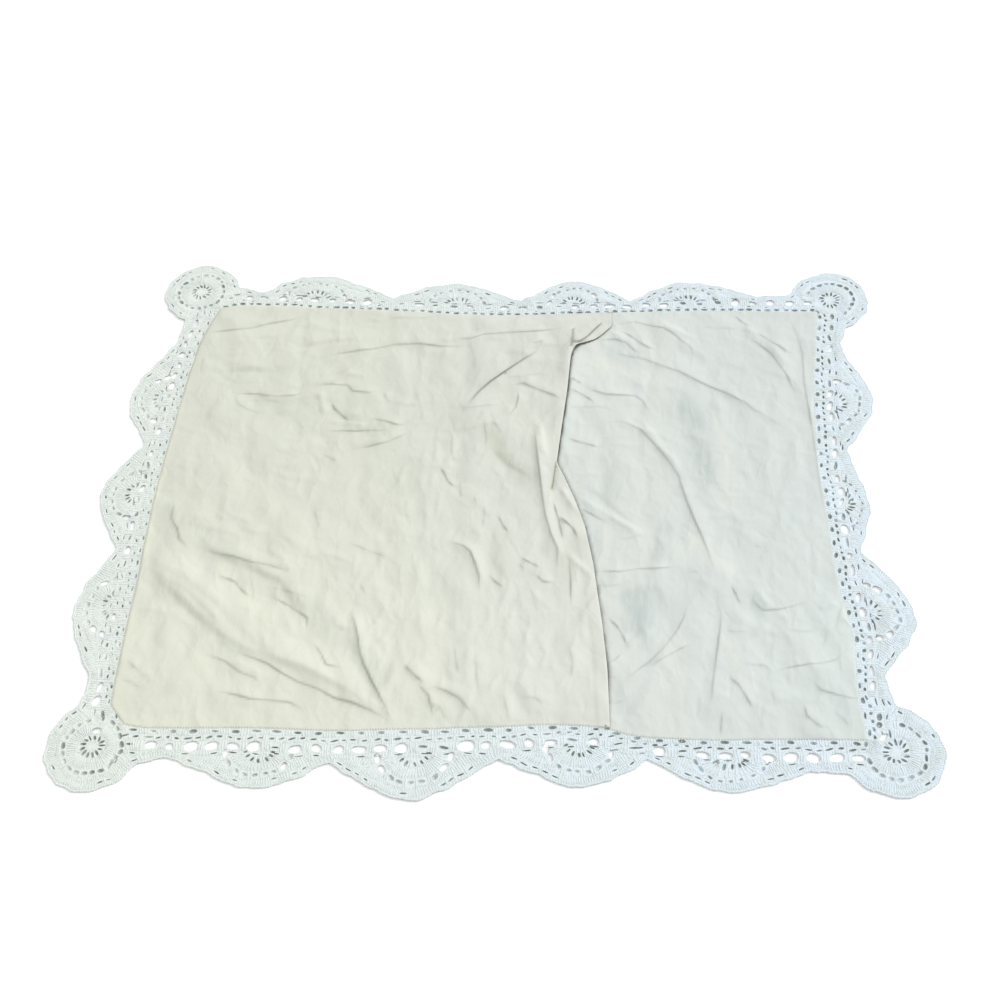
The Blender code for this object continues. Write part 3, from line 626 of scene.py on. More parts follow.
def crumple_paths(patches, seed):
    """Short bent paths, scattered over the patches, with a rise for each."""
    random = np.random.default_rng(seed)
    paths = []
    for middle, spread, direction, count in patches:
        for _ in range(count):
            spot = np.array(middle) + random.uniform(-1.0, 1.0, 2) * spread
            angle = math.radians(direction + random.normal(0.0, CRUMPLE_TURN))
            bend = math.radians(random.normal(0.0, CRUMPLE_TURN))
            half = random.uniform(*CRUMPLE_LENGTH) / 2.0
            start = spot - half * directions(angle - bend)
            end = spot + half * directions(angle + bend)
            paths.append((random.uniform(*CRUMPLE_RISE), (start, spot, end)))
    return paths


def crumple_height(points, paths):
    """Height of the scattered crumples."""
    height = np.zeros(len(points))
    for rise, path in paths:
        near = np.linalg.norm(points - path[1], axis=1) < CRUMPLE_LENGTH[1]
        _, distance, share = path_offset(points[near], path)
        distance = distance * high_side("faint", path)
        profile = step_profile(distance, rise, CRUMPLE_STEP, CRUMPLE_RUN)
        height[near] += taper(share, *CRUMPLE_ENDS) * profile
    return height


def wave_height(points, seed):
    """Gentle unevenness of cloth that has been washed and folded away."""
    random = np.random.default_rng(seed)
    height = np.zeros(len(points))
    for _ in range(WAVES):
        length = random.uniform(*WAVE_LENGTHS)
        angle = random.uniform(0.0, math.pi)
        phase = random.uniform(0.0, 2.0 * math.pi)
        along = points @ directions(angle)
        rise = WAVE_RISE * length / WAVE_USUAL
        height += rise * np.sin(2.0 * math.pi * along / length + phase)
    return height


def facet_height(points, spacing, rise, seed):
    """Flat facets that meet in faint sharp lines, as in cloth that has been crumpled."""
    random = np.random.default_rng(seed)
    reach = CLOTH_WIDTH / 2 + 2.0 * spacing
    even = np.arange(-reach, reach, spacing)
    spots = pairs(even, even)
    spots += random.uniform(-FACET_JITTER, FACET_JITTER, spots.shape) * spacing
    levels = random.uniform(-rise, rise, len(spots))
    flat = [Vector(spot) for spot in spots]
    height = np.zeros(len(points))
    for triangle in delaunay_2d_cdt(flat, [], [], 0, MERGE_DISTANCE, True)[2]:
        corners, (first, second, third) = spots[list(triangle)], levels[list(triangle)]
        low, high = corners.min(0), corners.max(0)
        near = np.flatnonzero(((points >= low) & (points <= high)).all(1))
        sides = np.column_stack([corners[1] - corners[0], corners[2] - corners[0]])
        share = np.linalg.solve(sides, (points[near] - corners[0]).T)
        within = (share >= -TOLERANCE).all(0) & (share.sum(0) <= 1.0 + TOLERANCE)
        level = first + share[0] * (second - first) + share[1] * (third - first)
        height[near[within]] = level[within]
    return height


def drawn_to_creases(points, creases):
    """Move grid points towards the nearest crease, so that its step stays crisp."""
    best = np.full(len(points), np.inf)
    offset = np.zeros((len(points), 2))
    for name, path in creases:
        if name in BLUNT_KINDS:
            continue
        gap, distance, share = path_offset(points, path)
        inside = (share > 0.0) & (share < 1.0)
        closer = inside & (np.abs(distance) < best)
        best[closer] = np.abs(distance)[closer]
        offset[closer] = gap[closer]
    near = best < MAGNET_REACH
    share = np.maximum(best[near] / MAGNET_REACH, SMALLEST)
    moved = points.copy()
    moved[near] -= offset[near] * (1.0 - share ** (MAGNET_POWER - 1.0))[:, None]
    return moved


def cloth_loop(gap=0.0):
    """The cloth's edge, anticlockwise, moved outwards by a gap."""
    parts = []
    for name, backwards, corner, _ in ROUTE:
        side = SIDES[name]
        along = stations(side)[1:-1]
        parts.append(side_points(side, along[::-1] if backwards else along, gap))
        spot = CORNERS[corner]
        parts.append([[spot.x + math.copysign(gap, spot.x), spot.y + math.copysign(gap, spot.y)]])
    return np.concatenate(parts)


def painted_light_shade_amount(points, painted_light_shades):
    """Sum of the soft patches of painted light and shade."""
    amount = np.zeros(len(points))
    for painted_light_shade in painted_light_shades:
        _, distance, share = path_offset(points, painted_light_shade.path)
        amount += painted_light_shade.amount * taper(share, *PAINTED_LIGHT_SHADE_ENDS) * np.exp(-(distance / painted_light_shade.width) ** 2)
    return amount


def edge_clearance(points, outline):
    """Distance from each point to a closed outline."""
    return np.abs(path_offset(points, np.vstack([outline, outline[:1]]))[1])


def opening_x(y):
    """Where the wide panel's opening edge lies, with its corners eased."""
    rows = np.array(OPENING_EDGE[::-1], float)
    shifts = np.linspace(-EDGE_EASING, EDGE_EASING, EDGE_SAMPLES)
    return sum(np.interp(y + shift, rows[:, 1], rows[:, 0]) for shift in shifts) / len(shifts)


def grid_in_cloth(left_share, bottom_share, left_x, right_x):
    """Spread a grid between the cloth's top and bottom edges and two sides given as x of y."""
    x = left_share * GRID_GUESS - GRID_GUESS / 2
    y = bottom_share * CLOTH_HEIGHT - CLOTH_HEIGHT / 2
    for _ in range(GRID_ROUNDS):
        low = -cloth_depth(SIDES["bottom"], x)
        high = cloth_depth(SIDES["top"], x)
        y = low + (high - low) * bottom_share
        x = left_x(y) + (right_x(y) - left_x(y)) * left_share
    return np.stack([x, y], -1)


def shares_to_edge(count, crowding):
    """Shares from 0 to 1 that crowd together a little near 1."""
    even = np.linspace(0.0, 1.0, count)
    return even + crowding * even * (1.0 - even)


def left_cloth_edge(y):
    """Where the cloth ends on the left."""
    return -cloth_depth(SIDES["left"], y)


def right_cloth_edge(y):
    """Where the cloth ends on the right."""
    return cloth_depth(SIDES["right"], y)


def tucked_edge(y):
    """Where the narrow panel ends under the wide one."""
    return np.full(np.shape(y), TUCKED_EDGE_X)


def back_relief(points, folds, creases, crumples, shares, seed):
    """Height of a back panel above its lowest place, and the painted shade along its crease lines.
    """
    clearance = edge_clearance(points, cloth_loop())
    puff = PUFF * smooth_step(clearance / PUFF_REACH)
    fold_share, crease_share, rough_share = shares
    main = fold_share * np.maximum(fold_height(points, folds), -PUFF)
    main *= smooth_step(clearance / SEAM_HOLD)
    lines, shade = crease_height(points, creases)
    rough = crumple_height(points, crumple_paths(crumples, seed)) + wave_height(points, seed)
    for order, (spacing, rise) in enumerate(FACETS):
        rough += facet_height(points, spacing, rise, seed + FACET_SEEDS * order)
    fine = crease_share * lines + rough_share * rough
    fine *= smooth_step(clearance / (FINE_HOLD * SEAM_HOLD))
    border = BORDER_DROP * np.clip(1.0 - clearance / BORDER_ROUNDING, 0.0, 1.0) ** 2
    relief = np.maximum(puff + main, 0.0) + np.maximum(fine, -FINE_DIP * puff)
    return relief + CLOTH_THICKNESS - border, shade


def put_in_frame(points):
    """Millimetres about the cloth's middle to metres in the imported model's frame."""
    points = np.array(points, float)
    points[..., 0] -= CENTRE[0]
    points[..., 1] -= CENTRE[1]
    return points * MM


def new_object(name, data):
    """An object of the scene that holds a mesh, a light or a camera."""
    made = bpy.data.objects.new(name, data)
    bpy.context.scene.collection.objects.link(made)
    return made


def mesh_object(name, points, faces, material, layers=None):
    """A smooth-shaded mesh piece, with the named values that its material reads at each point."""
    mesh = bpy.data.meshes.new(name)
    mesh.from_pydata(put_in_frame(points).tolist(), [], faces)
    mesh.materials.append(material)
    mesh.shade_smooth()
    for label, values in (layers or {}).items():
        layer = mesh.attributes.new(label, "FLOAT", "POINT")
        layer.data.foreach_set("value", np.array(values, np.float32))
    return new_object(name, mesh)


def grid_faces(columns, rows):
    """Quads of a grid whose points run row by row within each column."""
    index = np.arange(columns * rows).reshape(columns, rows)
    corners = (index[:-1, :-1], index[1:, :-1], index[1:, 1:], index[:-1, 1:])
    return np.stack(corners, -1).reshape(-1, 4).tolist()


def cloth_sheet(name, points, columns, rows, material, shade, painted_light_shades):
    """A cloth from a grid of its top surface, thickened downwards."""
    # Its material reads the painted crease shade and the patches of painted light and shade.
    layers = {"crease_shade": shade, "painted_light_shade": painted_light_shade_amount(points[:, :2], painted_light_shades)}
    sheet = mesh_object(name, points, grid_faces(columns, rows), material, layers)
    solidify = sheet.modifiers.new("thickness", "SOLIDIFY")
    solidify.thickness = SHEET_THICKNESS * MM
    solidify.offset = -1.0
    return sheet


def panel_plan(left_share, rows, left_x, right_x, creases):
    """Plan of a panel's grid, drawn to its creases but fast at its edges."""
    u, v = np.meshgrid(left_share, np.linspace(0.0, 1.0, rows), indexing="ij")
    plan = grid_in_cloth(u.ravel(), v.ravel(), left_x, right_x)
    moved = drawn_to_creases(plan, creases)
    edge = (u.ravel() == 0.0) | (u.ravel() == 1.0) | (v.ravel() == 0.0) | (v.ravel() == 1.0)
    return np.where(edge[:, None], plan, moved)


def pleat_share(y):
    """1 along the pleat that hides the opening's hem, 0 where the hem shows."""
    start, full, end, gone = FOLD_SPAN
    return smooth_step((y - start) / (full - start)) * smooth_step((gone - y) / (gone - end))


def gap_shade(y):
    """Painted shade in the gap beside the opening edge."""
    rows = np.array(GAP_SHADE, float)
    return np.interp(y, rows[:, 0], rows[:, 1])


def seam_share(plan):
    """0 at the seams, where the layers are sewn flat together, and 1 a little inside them."""
    return smooth_step(edge_clearance(plan, cloth_loop()) / SEAM_FLAT)


def wide_sheet(material):
    """The wide back panel, whose opening edge rolls under: a pleat above, a hem below."""
    columns, rows = WIDE_GRID
    shares = shares_to_edge(columns, EDGE_CROWDING)
    plan = panel_plan(shares, rows, left_cloth_edge, opening_x, WIDE_CREASES)
    climb = smooth_step((plan[:, 0] - TUCKED_EDGE_X + CLIMB_START) / CLIMB_LENGTH)
    relief, shade = back_relief(plan, WIDE_FOLDS, WIDE_CREASES, WIDE_CRUMPLES, WIDE_SHARES,
                                SEEDS["wide"])
    sewn = seam_share(plan)
    height = Z_UNDER_BACK + (Z_OVER_TUCKED - Z_UNDER_BACK) * climb * sewn + relief
    inside = opening_x(plan[:, 1]) - plan[:, 0]
    folded = pleat_share(plan[:, 1])
    hem = smooth_step((HEM_WIDTH - inside) / HEM_STEP) * (1.0 - folded)
    height += HEM_RISE * hem
    points = np.column_stack([plan, height]).reshape(columns, rows, 3)
    curl = (HEM_CURL + (FOLD_CURL - HEM_CURL) * folded) * (SEWN_CURL + (1.0 - SEWN_CURL) * sewn)
    curl = curl.reshape(columns, rows)[-1]
    rim = points[-1]
    slope = np.gradient(rim[:, :2], axis=0)
    out = np.column_stack([slope[:, 1], -slope[:, 0]])
    out /= np.linalg.norm(out, axis=1)[:, None]
    # The last columns stop short of the edge by the curl's radius, then roll under.
    pull = np.clip(1.0 - inside.reshape(columns, rows) / CURL_PULL, 0.0, 1.0)
    points[..., :2] -= (pull * curl)[..., None] * out
    rolled = []
    for degrees in CURL_ANGLES:
        turn = math.radians(degrees)
        ring = points[-1].copy()
        ring[:, :2] += out * (curl * math.sin(turn))[:, None]
        ring[:, 2] -= curl * (1.0 - math.cos(turn))
        rolled.append(ring)
    back = rolled[-1].copy()
    back[:, :2] -= out * CURL_RETURN
    points = np.concatenate([points, np.array(rolled + [back])])
    # The roll takes painted shade, darker on the steps that turn under.
    dark = gap_shade(rim[:, 1])
    shade = np.concatenate([shade] + [dark * share for share in CURL_SHADES])
    return cloth_sheet("wide_back_cloth", points.reshape(-1, 3), len(points), rows, material,
                       shade, WIDE_PAINTED_LIGHT_SHADES)


def narrow_sheet(material):
    """The narrow back panel, creased where it shows and flat under the wide one."""
    columns, rows = NARROW_GRID
    hidden = np.linspace(0.0, NARROW_HIDDEN_SHARE, HIDDEN_COLUMNS, endpoint=False)
    shown = np.linspace(NARROW_HIDDEN_SHARE, 1.0, columns - HIDDEN_COLUMNS)
    shares = np.concatenate([hidden, shown])
    plan = panel_plan(shares, rows, tucked_edge, right_cloth_edge, NARROW_CREASES)
    relief, shade = back_relief(plan, NARROW_FOLDS, NARROW_CREASES, NARROW_CRUMPLES,
                                NARROW_SHARES, SEEDS["narrow"])
    outside = plan[:, 0] - opening_x(plan[:, 1])
    folded = pleat_share(plan[:, 1])
    uncovered = smooth_step((outside - COVER_START) / COVER_CLIMB)
    bulge = BULGE_RISE * folded * np.exp(-((outside - BULGE_PLACE) / BULGE_WIDTH) ** 2)
    height = Z_UNDER_BACK + CLOTH_THICKNESS + (relief + bulge - CLOTH_THICKNESS) * uncovered
    height -= TUCKED_DROP * (1.0 - seam_share(plan)) * (1.0 - uncovered)
    points = np.column_stack([plan, height])
    # Painted shade on the narrow panel beside the opening edge.
    width = GAP_WIDTHS[0] + (GAP_WIDTHS[1] - GAP_WIDTHS[0]) * folded
    gap = gap_shade(plan[:, 1]) * (1.0 - smooth_step((outside - GAP_START) / width))
    shade = np.maximum(shade * uncovered, gap)
    return cloth_sheet("narrow_back_cloth", points, columns, rows, material, shade, NARROW_PAINTED_LIGHT_SHADES)


def front_sheet(material):
    """The face cloth underneath, nearly flat on the table."""
    columns, rows = FRONT_GRID
    plan = panel_plan(np.linspace(0.0, 1.0, columns), rows, left_cloth_edge, right_cloth_edge, ())
    height = FRONT_TOP + FRONT_WAVES * wave_height(plan, SEEDS["front"])
    return cloth_sheet("front_cloth", np.column_stack([plan, height]), columns, rows, material,
                       np.zeros(len(plan)), ())


# ---------------------------------------------------------------- crochet: outlines

RIM_STEP = 2.0
# How far the rim wobbles, in how many waves, and how often each of them runs round it.
RIM_WOBBLE = 0.16
RIM_WAVES = 9
RIM_WAVE_COUNTS = (70, 260)
CORNER_STEPS = 44
NORMAL_REACH = 3
# pale: 1 where the walls round a small opening take the paler painted shade.
Hole = namedtuple("Hole", "x y angle length width pale", defaults=(0,))
Fan = namedtuple("Fan", "middle centre reach rise")


def circle_reach(origins, direction, corner):
    """Distance to a corner fan's rim along a direction, falling away where it misses the fan."""
    to_centre = np.array([corner.fan_x, corner.fan_y], float) - origins
    along = (to_centre * direction).sum(-1)
    offset = np.sqrt(np.maximum((to_centre ** 2).sum(-1) - along ** 2, 0.0))
    inside = np.sqrt(np.maximum(corner.radius ** 2 - offset ** 2, 0.0))
    return np.where(offset > corner.radius, along - (offset - corner.radius), along + inside)


def soft_maximum(first, second):
    """The larger of two depths, blended where they are alike."""
    high = np.maximum(first, second)
    low = np.minimum(first, second)
    return high + SCALLOP_BLEND * np.log1p(np.exp((low - high) / SCALLOP_BLEND))


def outward_direction(side):
    """The direction in which the lace leaves the cloth on a side."""
    return np.array([0.0, side.outward] if side.axis == 0 else [side.outward, 0.0])


def scallop_depth(side, along):
    """Depth of the lace's outer edge along a side, with its fans and the corner fans."""
    base = heading_depth(side, along)
    depth = base.copy()
    for index, (middle, tip) in enumerate(side.fans):
        foot = np.where(along < middle, side.valleys[index][0], side.valleys[index + 1][0])
        share = np.abs(along - middle) / np.abs(foot - middle)
        bell = 0.5 + 0.5 * np.cos(math.pi * share)
        hump = (1.0 - SCALLOP_ROUNDNESS) * bell + SCALLOP_ROUNDNESS * (1.0 - share ** 2)
        depth = np.where(share < 1.0, base + (tip - base) * hump, depth)
    origins = side_points(side, along, 0.0)
    for name in (side.start, side.end):
        reach = circle_reach(origins, outward_direction(side), CORNERS[name])
        depth = np.where(reach > 0.0, soft_maximum(depth, np.maximum(reach, 0.0)), depth)
    return depth


def corner_arc(name, first_side, last_side, steps):
    """Points on the lace's rim in the quarter outside a cloth corner."""
    corner = CORNERS[name]
    origin = np.array([[corner.x, corner.y]], float)
    first, last = outward_direction(first_side), outward_direction(last_side)
    start = math.atan2(first[1], first[0])
    turn = (math.atan2(last[1], last[0]) - start) % (2 * math.pi)
    rays = directions(start + turn * np.arange(1, steps) / steps)
    return np.array([origin[0] + ray * circle_reach(origin, ray, corner)[0] for ray in rays])


def lace_loop():
    """The lace's scalloped rim, anticlockwise."""
    parts = []
    for name, backwards, corner, following in ROUTE:
        side = SIDES[name]
        first, last = side_span(side)
        along = np.linspace(first, last, round((last - first) / RIM_STEP) + 1)
        along = along[::-1] if backwards else along
        parts.append(side_points(side, along, scallop_depth(side, along)))
        parts.append(corner_arc(corner, side, SIDES[following], CORNER_STEPS))
    return np.concatenate(parts)


# ---------------------------------------------------------------- crochet: openings

# Where the heading's rows and slits lie, as shares of its depth.
ROW_SHARES = (0.0, 0.20, 0.40, 0.72, 0.86)
SLIT_SHARE = 0.305
SLIT_TILT = 0.14
# The straight heading of each side: pitch of its cells; openings next to the cloth and slits, as
# (shift, length, width); share of the slits that show; length and share of the open cells;
# share of the small openings whose walls take the paler painted shade.
Heading = namedtuple("Heading", "pitch near slits shown open_length open_share pale")
HEADINGS = {
    "bottom": Heading(18.6, ((0.0, 7.8, 3.4),), ((-4.7, 7.2, 2.1), (4.7, 5.2, 2.2)), 0.95,
                      13.0, 0.30, 0.15),
    "right": Heading(15.1, ((0.0, 6.4, 3.8),), ((-3.8, 4.6, 3.0), (3.8, 4.4, 2.8)), 0.97,
                     10.5, 0.18, 0.10),
    "top": Heading(18.9, ((-4.7, 7.0, 3.6), (4.7, 7.0, 3.6)), ((-4.7, 4.4, 1.2), (4.7, 4.4, 1.2)),
                   0.4, 10.5, 0.30, 0.10),
    "left": Heading(15.1, ((0.0, 5.6, 2.6),), ((-3.8, 4.0, 2.3), (3.8, 4.0, 2.3)), 0.65,
                    9.5, 0.23, 0.65),
}
# For all openings: how far they stray from their place; how they lean, in radians, as a spread or
# as a middle and a spread; and the shares of their usual length and width that they vary between.
CELL_STRAY = (0.6, 0.3)
CELL_LEAN = 0.07
SLIT_LEAN = 0.12
CELL_SPREAD = ((0.7, 1.15), (0.7, 1.15))
# Open cells: how many are full ones, how open those and the others are, and how much of their
# length follows that.
FULL_CELLS = 0.75
FULL_OPEN = (0.7, 1.25)
TIGHT_OPEN = (0.2, 0.5)
OPEN_LENGTH_GIVE = 0.4
# Low slits, where the fans leave the heading this much room.
LOW_SLIT = (8.0, 1.5)
LOW_SLIT_SHARE = 0.80
LOW_SLIT_STRAY = 5.0
LOW_SLIT_ROOM = 5.0
# A side fan's slots and ring, by their angles from its outermost point in degrees. Their sizes are
# those of a fan that rises this much from its centre.
USUAL_RISE = 37.0
SLOT_ANGLES = (-75, -50, -25, 0, 25, 50, 75)
SLOT_ANGLE_STRAY = 2.5
SLOT_RADIUS = 10.3
SLOT_SHIFT = 1.5
SLOT_LEAN = (0.18, 0.08)
SLOT_SIZE = (5.8, 2.5)
SLOT_SPREAD = ((0.85, 1.1), (0.8, 1.15))
RING_ANGLES = (-76, -55, -35, -17, 0, 17, 35, 55, 76)
RING_ANGLE_STRAY = 1.5
RING_LEAN = 0.08
RING_SIZES = ((8.4, 5.4), (8.0, 5.0), (6.0, 3.8), (5.4, 3.1), (5.4, 3.0), (5.4, 3.1), (6.0, 3.8),
             (8.0, 5.0), (8.4, 5.4))
RING_SPREAD = (0.75, 1.05)
ANGLE_STEP = 0.05
CORNER_SLOTS = 13
CORNER_SLOT_RADIUS = 8.6
CORNER_SLOT_LEAN = (0.25, 0.08)
CORNER_SLOT_SPREAD = ((0.85, 1.15), (0.75, 1.1))
CORNER_RING_PITCH = 7.9
CORNER_RING_LEAN = 0.12
CORNER_RING_SIZE = (6.4, 4.0)
CORNER_RING_SPREAD = ((0.85, 1.1), (0.8, 1.15))
CORNER_RING_PALE = 0.5
CORNER_RING_OVERLAP = 2.0
# Slits just inside the rim: what share of their places has one, on the fans' flanks and elsewhere.
RIM_SLIT_INSET = 5.2
RIM_SLIT_PITCH = 9.6
RIM_SLIT_STRAY = 0.3
RIM_SLIT_LEAN = 0.06
RIM_SLIT_SIZE = (6.2, 1.9)
RIM_SLIT_SPREAD = ((0.7, 1.15), (0.6, 1.1))
RIM_STEPS_A_SLIT = 3
FLANK_SLOPE = 0.95
FLANK_SLITS = 0.6
TIP_SLITS = 0.12
SLACK_HOLES = (Hole(-345.0, -255.0, 0.3, 8.0, 6.0), Hole(-323.0, -284.5, 0.2, 6.5, 4.8),
               Hole(344.0, -235.0, 1.2, 6.0, 5.0), Hole(347.0, -246.0, 0.7, 8.5, 4.6))
HOLE_CORNERS = 10
HOLE_ROUNDNESS = 0.85
HOLES_AT_ONCE = 60
# An opening whose length times width is less than this has a funnel for walls: it narrows to a
# share of its size over the walls' depth, and stays clear of the floor. The funnel is nearly
# closed and takes painted shade: a dark sheet that stands in for the shade inside a small opening.
SMALL_HOLE = 36.0
WALL_DEPTH = 1.6
FUNNEL = 0.15
FLOOR_CLEARANCE = 0.1


def hole_polygon(hole):
    """A rounded opening as a polygon."""
    rays = directions(2.0 * math.pi * (np.arange(HOLE_CORNERS) + 0.5) / HOLE_CORNERS)
    half = 0.5 * np.array([hole.length, hole.width])
    u, v = (half * np.sign(rays) * np.abs(rays) ** HOLE_ROUNDNESS).T
    cosine, sine = directions(hole.angle)
    return np.stack([hole.x + u * cosine - v * sine, hole.y + u * sine + v * cosine], -1)


def in_holes(points, holes, grow):
    """Which points lie in, or within a margin of, an opening."""
    table = np.array(holes, float)
    found = np.zeros(len(points), bool)
    for block in np.array_split(table, max(1, len(table) // HOLES_AT_ONCE)):
        gap = points[:, None, :] - block[None, :, :2]
        cosine, sine = np.cos(block[:, 2]), np.sin(block[:, 2])
        u = gap[..., 0] * cosine + gap[..., 1] * sine
        v = gap[..., 1] * cosine - gap[..., 0] * sine
        reach = (u / (0.5 * block[:, 3] + grow)) ** 2 + (v / (0.5 * block[:, 4] + grow)) ** 2
        found |= (reach < 1.0).any(1)
    return found


def side_angle(side):
    """Direction of a side's length."""
    return 0.0 if side.axis == 0 else math.pi / 2


def varied(size, shares, random):
    """Length and width of an opening, each between two shares of its usual size."""
    return [usual * random.uniform(*between) for usual, between in zip(size, shares)]


def chance(share, random):
    """1 in that share of the cases, else 0."""
    return int(random.uniform() < share)


def heading_holes(name, side, random):
    """The openings of a straight heading: small cells, slits, open cells and low slits."""
    heading = HEADINGS[name]
    first, last = side_span(side)
    count = round((last - first) / heading.pitch)
    angle = side_angle(side)
    holes = []

    def add(along, across, size, lean=0.0, spread=CELL_LEAN):
        """One opening, a little off its place, lean and size."""
        spot = side_points(side, along + random.normal(0.0, CELL_STRAY[0]),
                           across + random.normal(0.0, CELL_STRAY[1]))
        length = size[0] * random.uniform(*CELL_SPREAD[0])
        lean = angle + lean + random.normal(0.0, spread)
        width = size[1] * random.uniform(*CELL_SPREAD[1])
        holes.append(Hole(*spot, lean, length, width, chance(heading.pale, random)))

    for middle in first + (np.arange(count) + 0.5) * (last - first) / count:
        depth = float(heading_depth(side, middle))
        for shift, *size in heading.near:
            add(middle + shift, ROW_NEAR * depth, size)
        for shift, *size in heading.slits:
            if chance(heading.shown, random):
                add(middle + shift, SLIT_SHARE * depth, size, SLIT_TILT, SLIT_LEAN)
        slack = random.uniform(*(FULL_OPEN if chance(FULL_CELLS, random) else TIGHT_OPEN))
        length = heading.open_length * (1.0 - OPEN_LENGTH_GIVE + OPEN_LENGTH_GIVE * slack)
        width = slack * heading.open_share * depth
        add(middle, ROW_OPEN * depth, (length, width), spread=SLIT_LEAN)
        if float(scallop_depth(side, np.array([middle]))[0]) > depth + LOW_SLIT_ROOM:
            shift = random.uniform(-LOW_SLIT_STRAY, LOW_SLIT_STRAY)
            add(middle + shift, LOW_SLIT_SHARE * depth, LOW_SLIT)
    return holes


def fan_shape(side, index):
    """A fan's middle, the depth of its centre, and its reach along and out of the side."""
    middle, tip = side.fans[index]
    half = (side.valleys[index + 1][0] - side.valleys[index][0]) / 2
    centre = FAN_CENTRE_SHARE * float(heading_depth(side, middle))
    return Fan(middle, centre, FAN_REACH_SHARE * half, tip - centre)


def fan_point(side, fan, share, angle):
    """A point of a fan, at a share of its reach and an angle from its outermost point."""
    return side_points(side, fan.middle + share * fan.reach * np.sin(angle),
                       fan.centre + share * fan.rise * np.cos(angle))


def fan_angle(side, fan, share, angle):
    """Direction of a fan's ring at a point of it."""
    before = fan_point(side, fan, share, angle - ANGLE_STEP)
    after = fan_point(side, fan, share, angle + ANGLE_STEP)
    return math.atan2(after[1] - before[1], after[0] - before[0])


def fan_holes(side, index, pale, random):
    """A fan's radial slots and the openings of its second ring."""
    fan = fan_shape(side, index)
    holes = []
    for degrees in SLOT_ANGLES:
        turn = math.radians(degrees + random.normal(0.0, SLOT_ANGLE_STRAY))
        share = SLOT_RADIUS / USUAL_RISE
        spot = fan_point(side, fan, share, turn) + SLOT_SHIFT * outward_direction(side)
        across = fan_angle(side, fan, share, turn) + math.pi / 2 + random.normal(*SLOT_LEAN)
        holes.append(Hole(*spot, across, *varied(SLOT_SIZE, SLOT_SPREAD, random),
                          chance(pale, random)))
    for degrees, (length, width) in zip(RING_ANGLES, RING_SIZES):
        turn = math.radians(degrees + random.normal(0.0, RING_ANGLE_STRAY))
        spot = fan_point(side, fan, FAN_RING_SHARE, turn)
        along = fan_angle(side, fan, FAN_RING_SHARE, turn) + random.normal(0.0, RING_LEAN)
        size = random.uniform(*RING_SPREAD) * fan.rise / USUAL_RISE
        holes.append(Hole(*spot, along, length * size, width * size, 1))
    return holes


def corner_holes(corner, random):
    """A corner fan's slots, all round, and its ring of openings."""
    centre = np.array([corner.fan_x, corner.fan_y], float)
    outward = math.atan2(corner.fan_y - corner.y, corner.fan_x - corner.x)
    holes = []
    for step in range(CORNER_SLOTS):
        turn = outward + 2.0 * math.pi * step / CORNER_SLOTS
        spot = centre + CORNER_SLOT_RADIUS * directions(turn)
        holes.append(Hole(*spot, turn + random.normal(*CORNER_SLOT_LEAN),
                          *varied(SLOT_SIZE, CORNER_SLOT_SPREAD, random)))
    radius = CORNER_RING_SHARE * corner.radius
    count = round(2.0 * math.pi * radius / CORNER_RING_PITCH)
    for step in range(count):
        turn = outward + 2.0 * math.pi * (step + 0.5) / count
        spot = centre + radius * directions(turn)
        if in_heading(spot[None], 1.0, CORNER_RING_OVERLAP)[0]:
            continue
        holes.append(Hole(*spot, turn + math.pi / 2 + random.normal(0.0, CORNER_RING_LEAN),
                          *varied(CORNER_RING_SIZE, CORNER_RING_SPREAD, random),
                          chance(CORNER_RING_PALE, random)))
    return holes


def in_heading(points, share, inset=0.0):
    """Which points lie on the cloth or in a heading, to a share of its depth and off its ends."""
    found = np.zeros(len(points), bool)
    for side in SIDES.values():
        along, across = points[:, side.axis], points[:, 1 - side.axis] * side.outward
        first, last = side_span(side)
        within = (along > first + inset) & (along < last - inset) & (across > 0.0)
        found |= within & (across < cloth_depth(side, along) + share * heading_depth(side, along))
    return found


def loop_normals(loop):
    """Outward directions along an anticlockwise loop."""
    run = np.roll(loop, -NORMAL_REACH, axis=0) - np.roll(loop, NORMAL_REACH, axis=0)
    normals = np.column_stack([run[:, 1], -run[:, 0]])
    return normals / np.linalg.norm(normals, axis=1)[:, None]


def points_along(line, stops, places):
    """Points of a line at given places, where its own points lie at the stops."""
    return np.stack([np.interp(places, stops, line[:, axis]) for axis in (0, 1)], -1)


def resampled(line, pitch, closed=False):
    """Points along a line at an even pitch."""
    line = np.vstack([line, line[:1]]) if closed else np.asarray(line, float)
    lengths = np.concatenate([[0.0], np.cumsum(np.linalg.norm(np.diff(line, axis=0), axis=1))])
    count = max(int(round(lengths[-1] / pitch)), 2)
    return points_along(line, lengths, np.linspace(0.0, lengths[-1], count + 1))


def rim_wobble(count):
    """How far a hand-worked rim strays from its even line, point by point round it."""
    random = np.random.default_rng(SEEDS["rim"])
    turn = 2.0 * math.pi * np.arange(count) / count
    waves = [(random.integers(*RIM_WAVE_COUNTS), random.uniform(0.0, 2.0 * math.pi))
             for _ in range(RIM_WAVES)]
    return RIM_WOBBLE * sum(np.sin(times * turn + phase) for times, phase in waves)


def rim_slits(random):
    """Slits in the row just inside the rim, more of them on the fans' flanks."""
    rim = resampled(RIM, RIM_SLIT_PITCH, closed=True)[:-1]
    fine = resampled(RIM, RIM_SLIT_PITCH / RIM_STEPS_A_SLIT, closed=True)[:-1]
    normals = loop_normals(fine)[::RIM_STEPS_A_SLIT]
    holes = []
    for spot, normal in zip(rim, normals):
        on_flank = np.abs(normal).max() < FLANK_SLOPE
        if random.uniform() > (FLANK_SLITS if on_flank else TIP_SLITS):
            continue
        place = spot - normal * (RIM_SLIT_INSET + random.normal(0.0, RIM_SLIT_STRAY))
        angle = math.atan2(normal[0], -normal[1]) + random.normal(0.0, RIM_SLIT_LEAN)
        holes.append(Hole(*place, angle, *varied(RIM_SLIT_SIZE, RIM_SLIT_SPREAD, random)))
    return holes


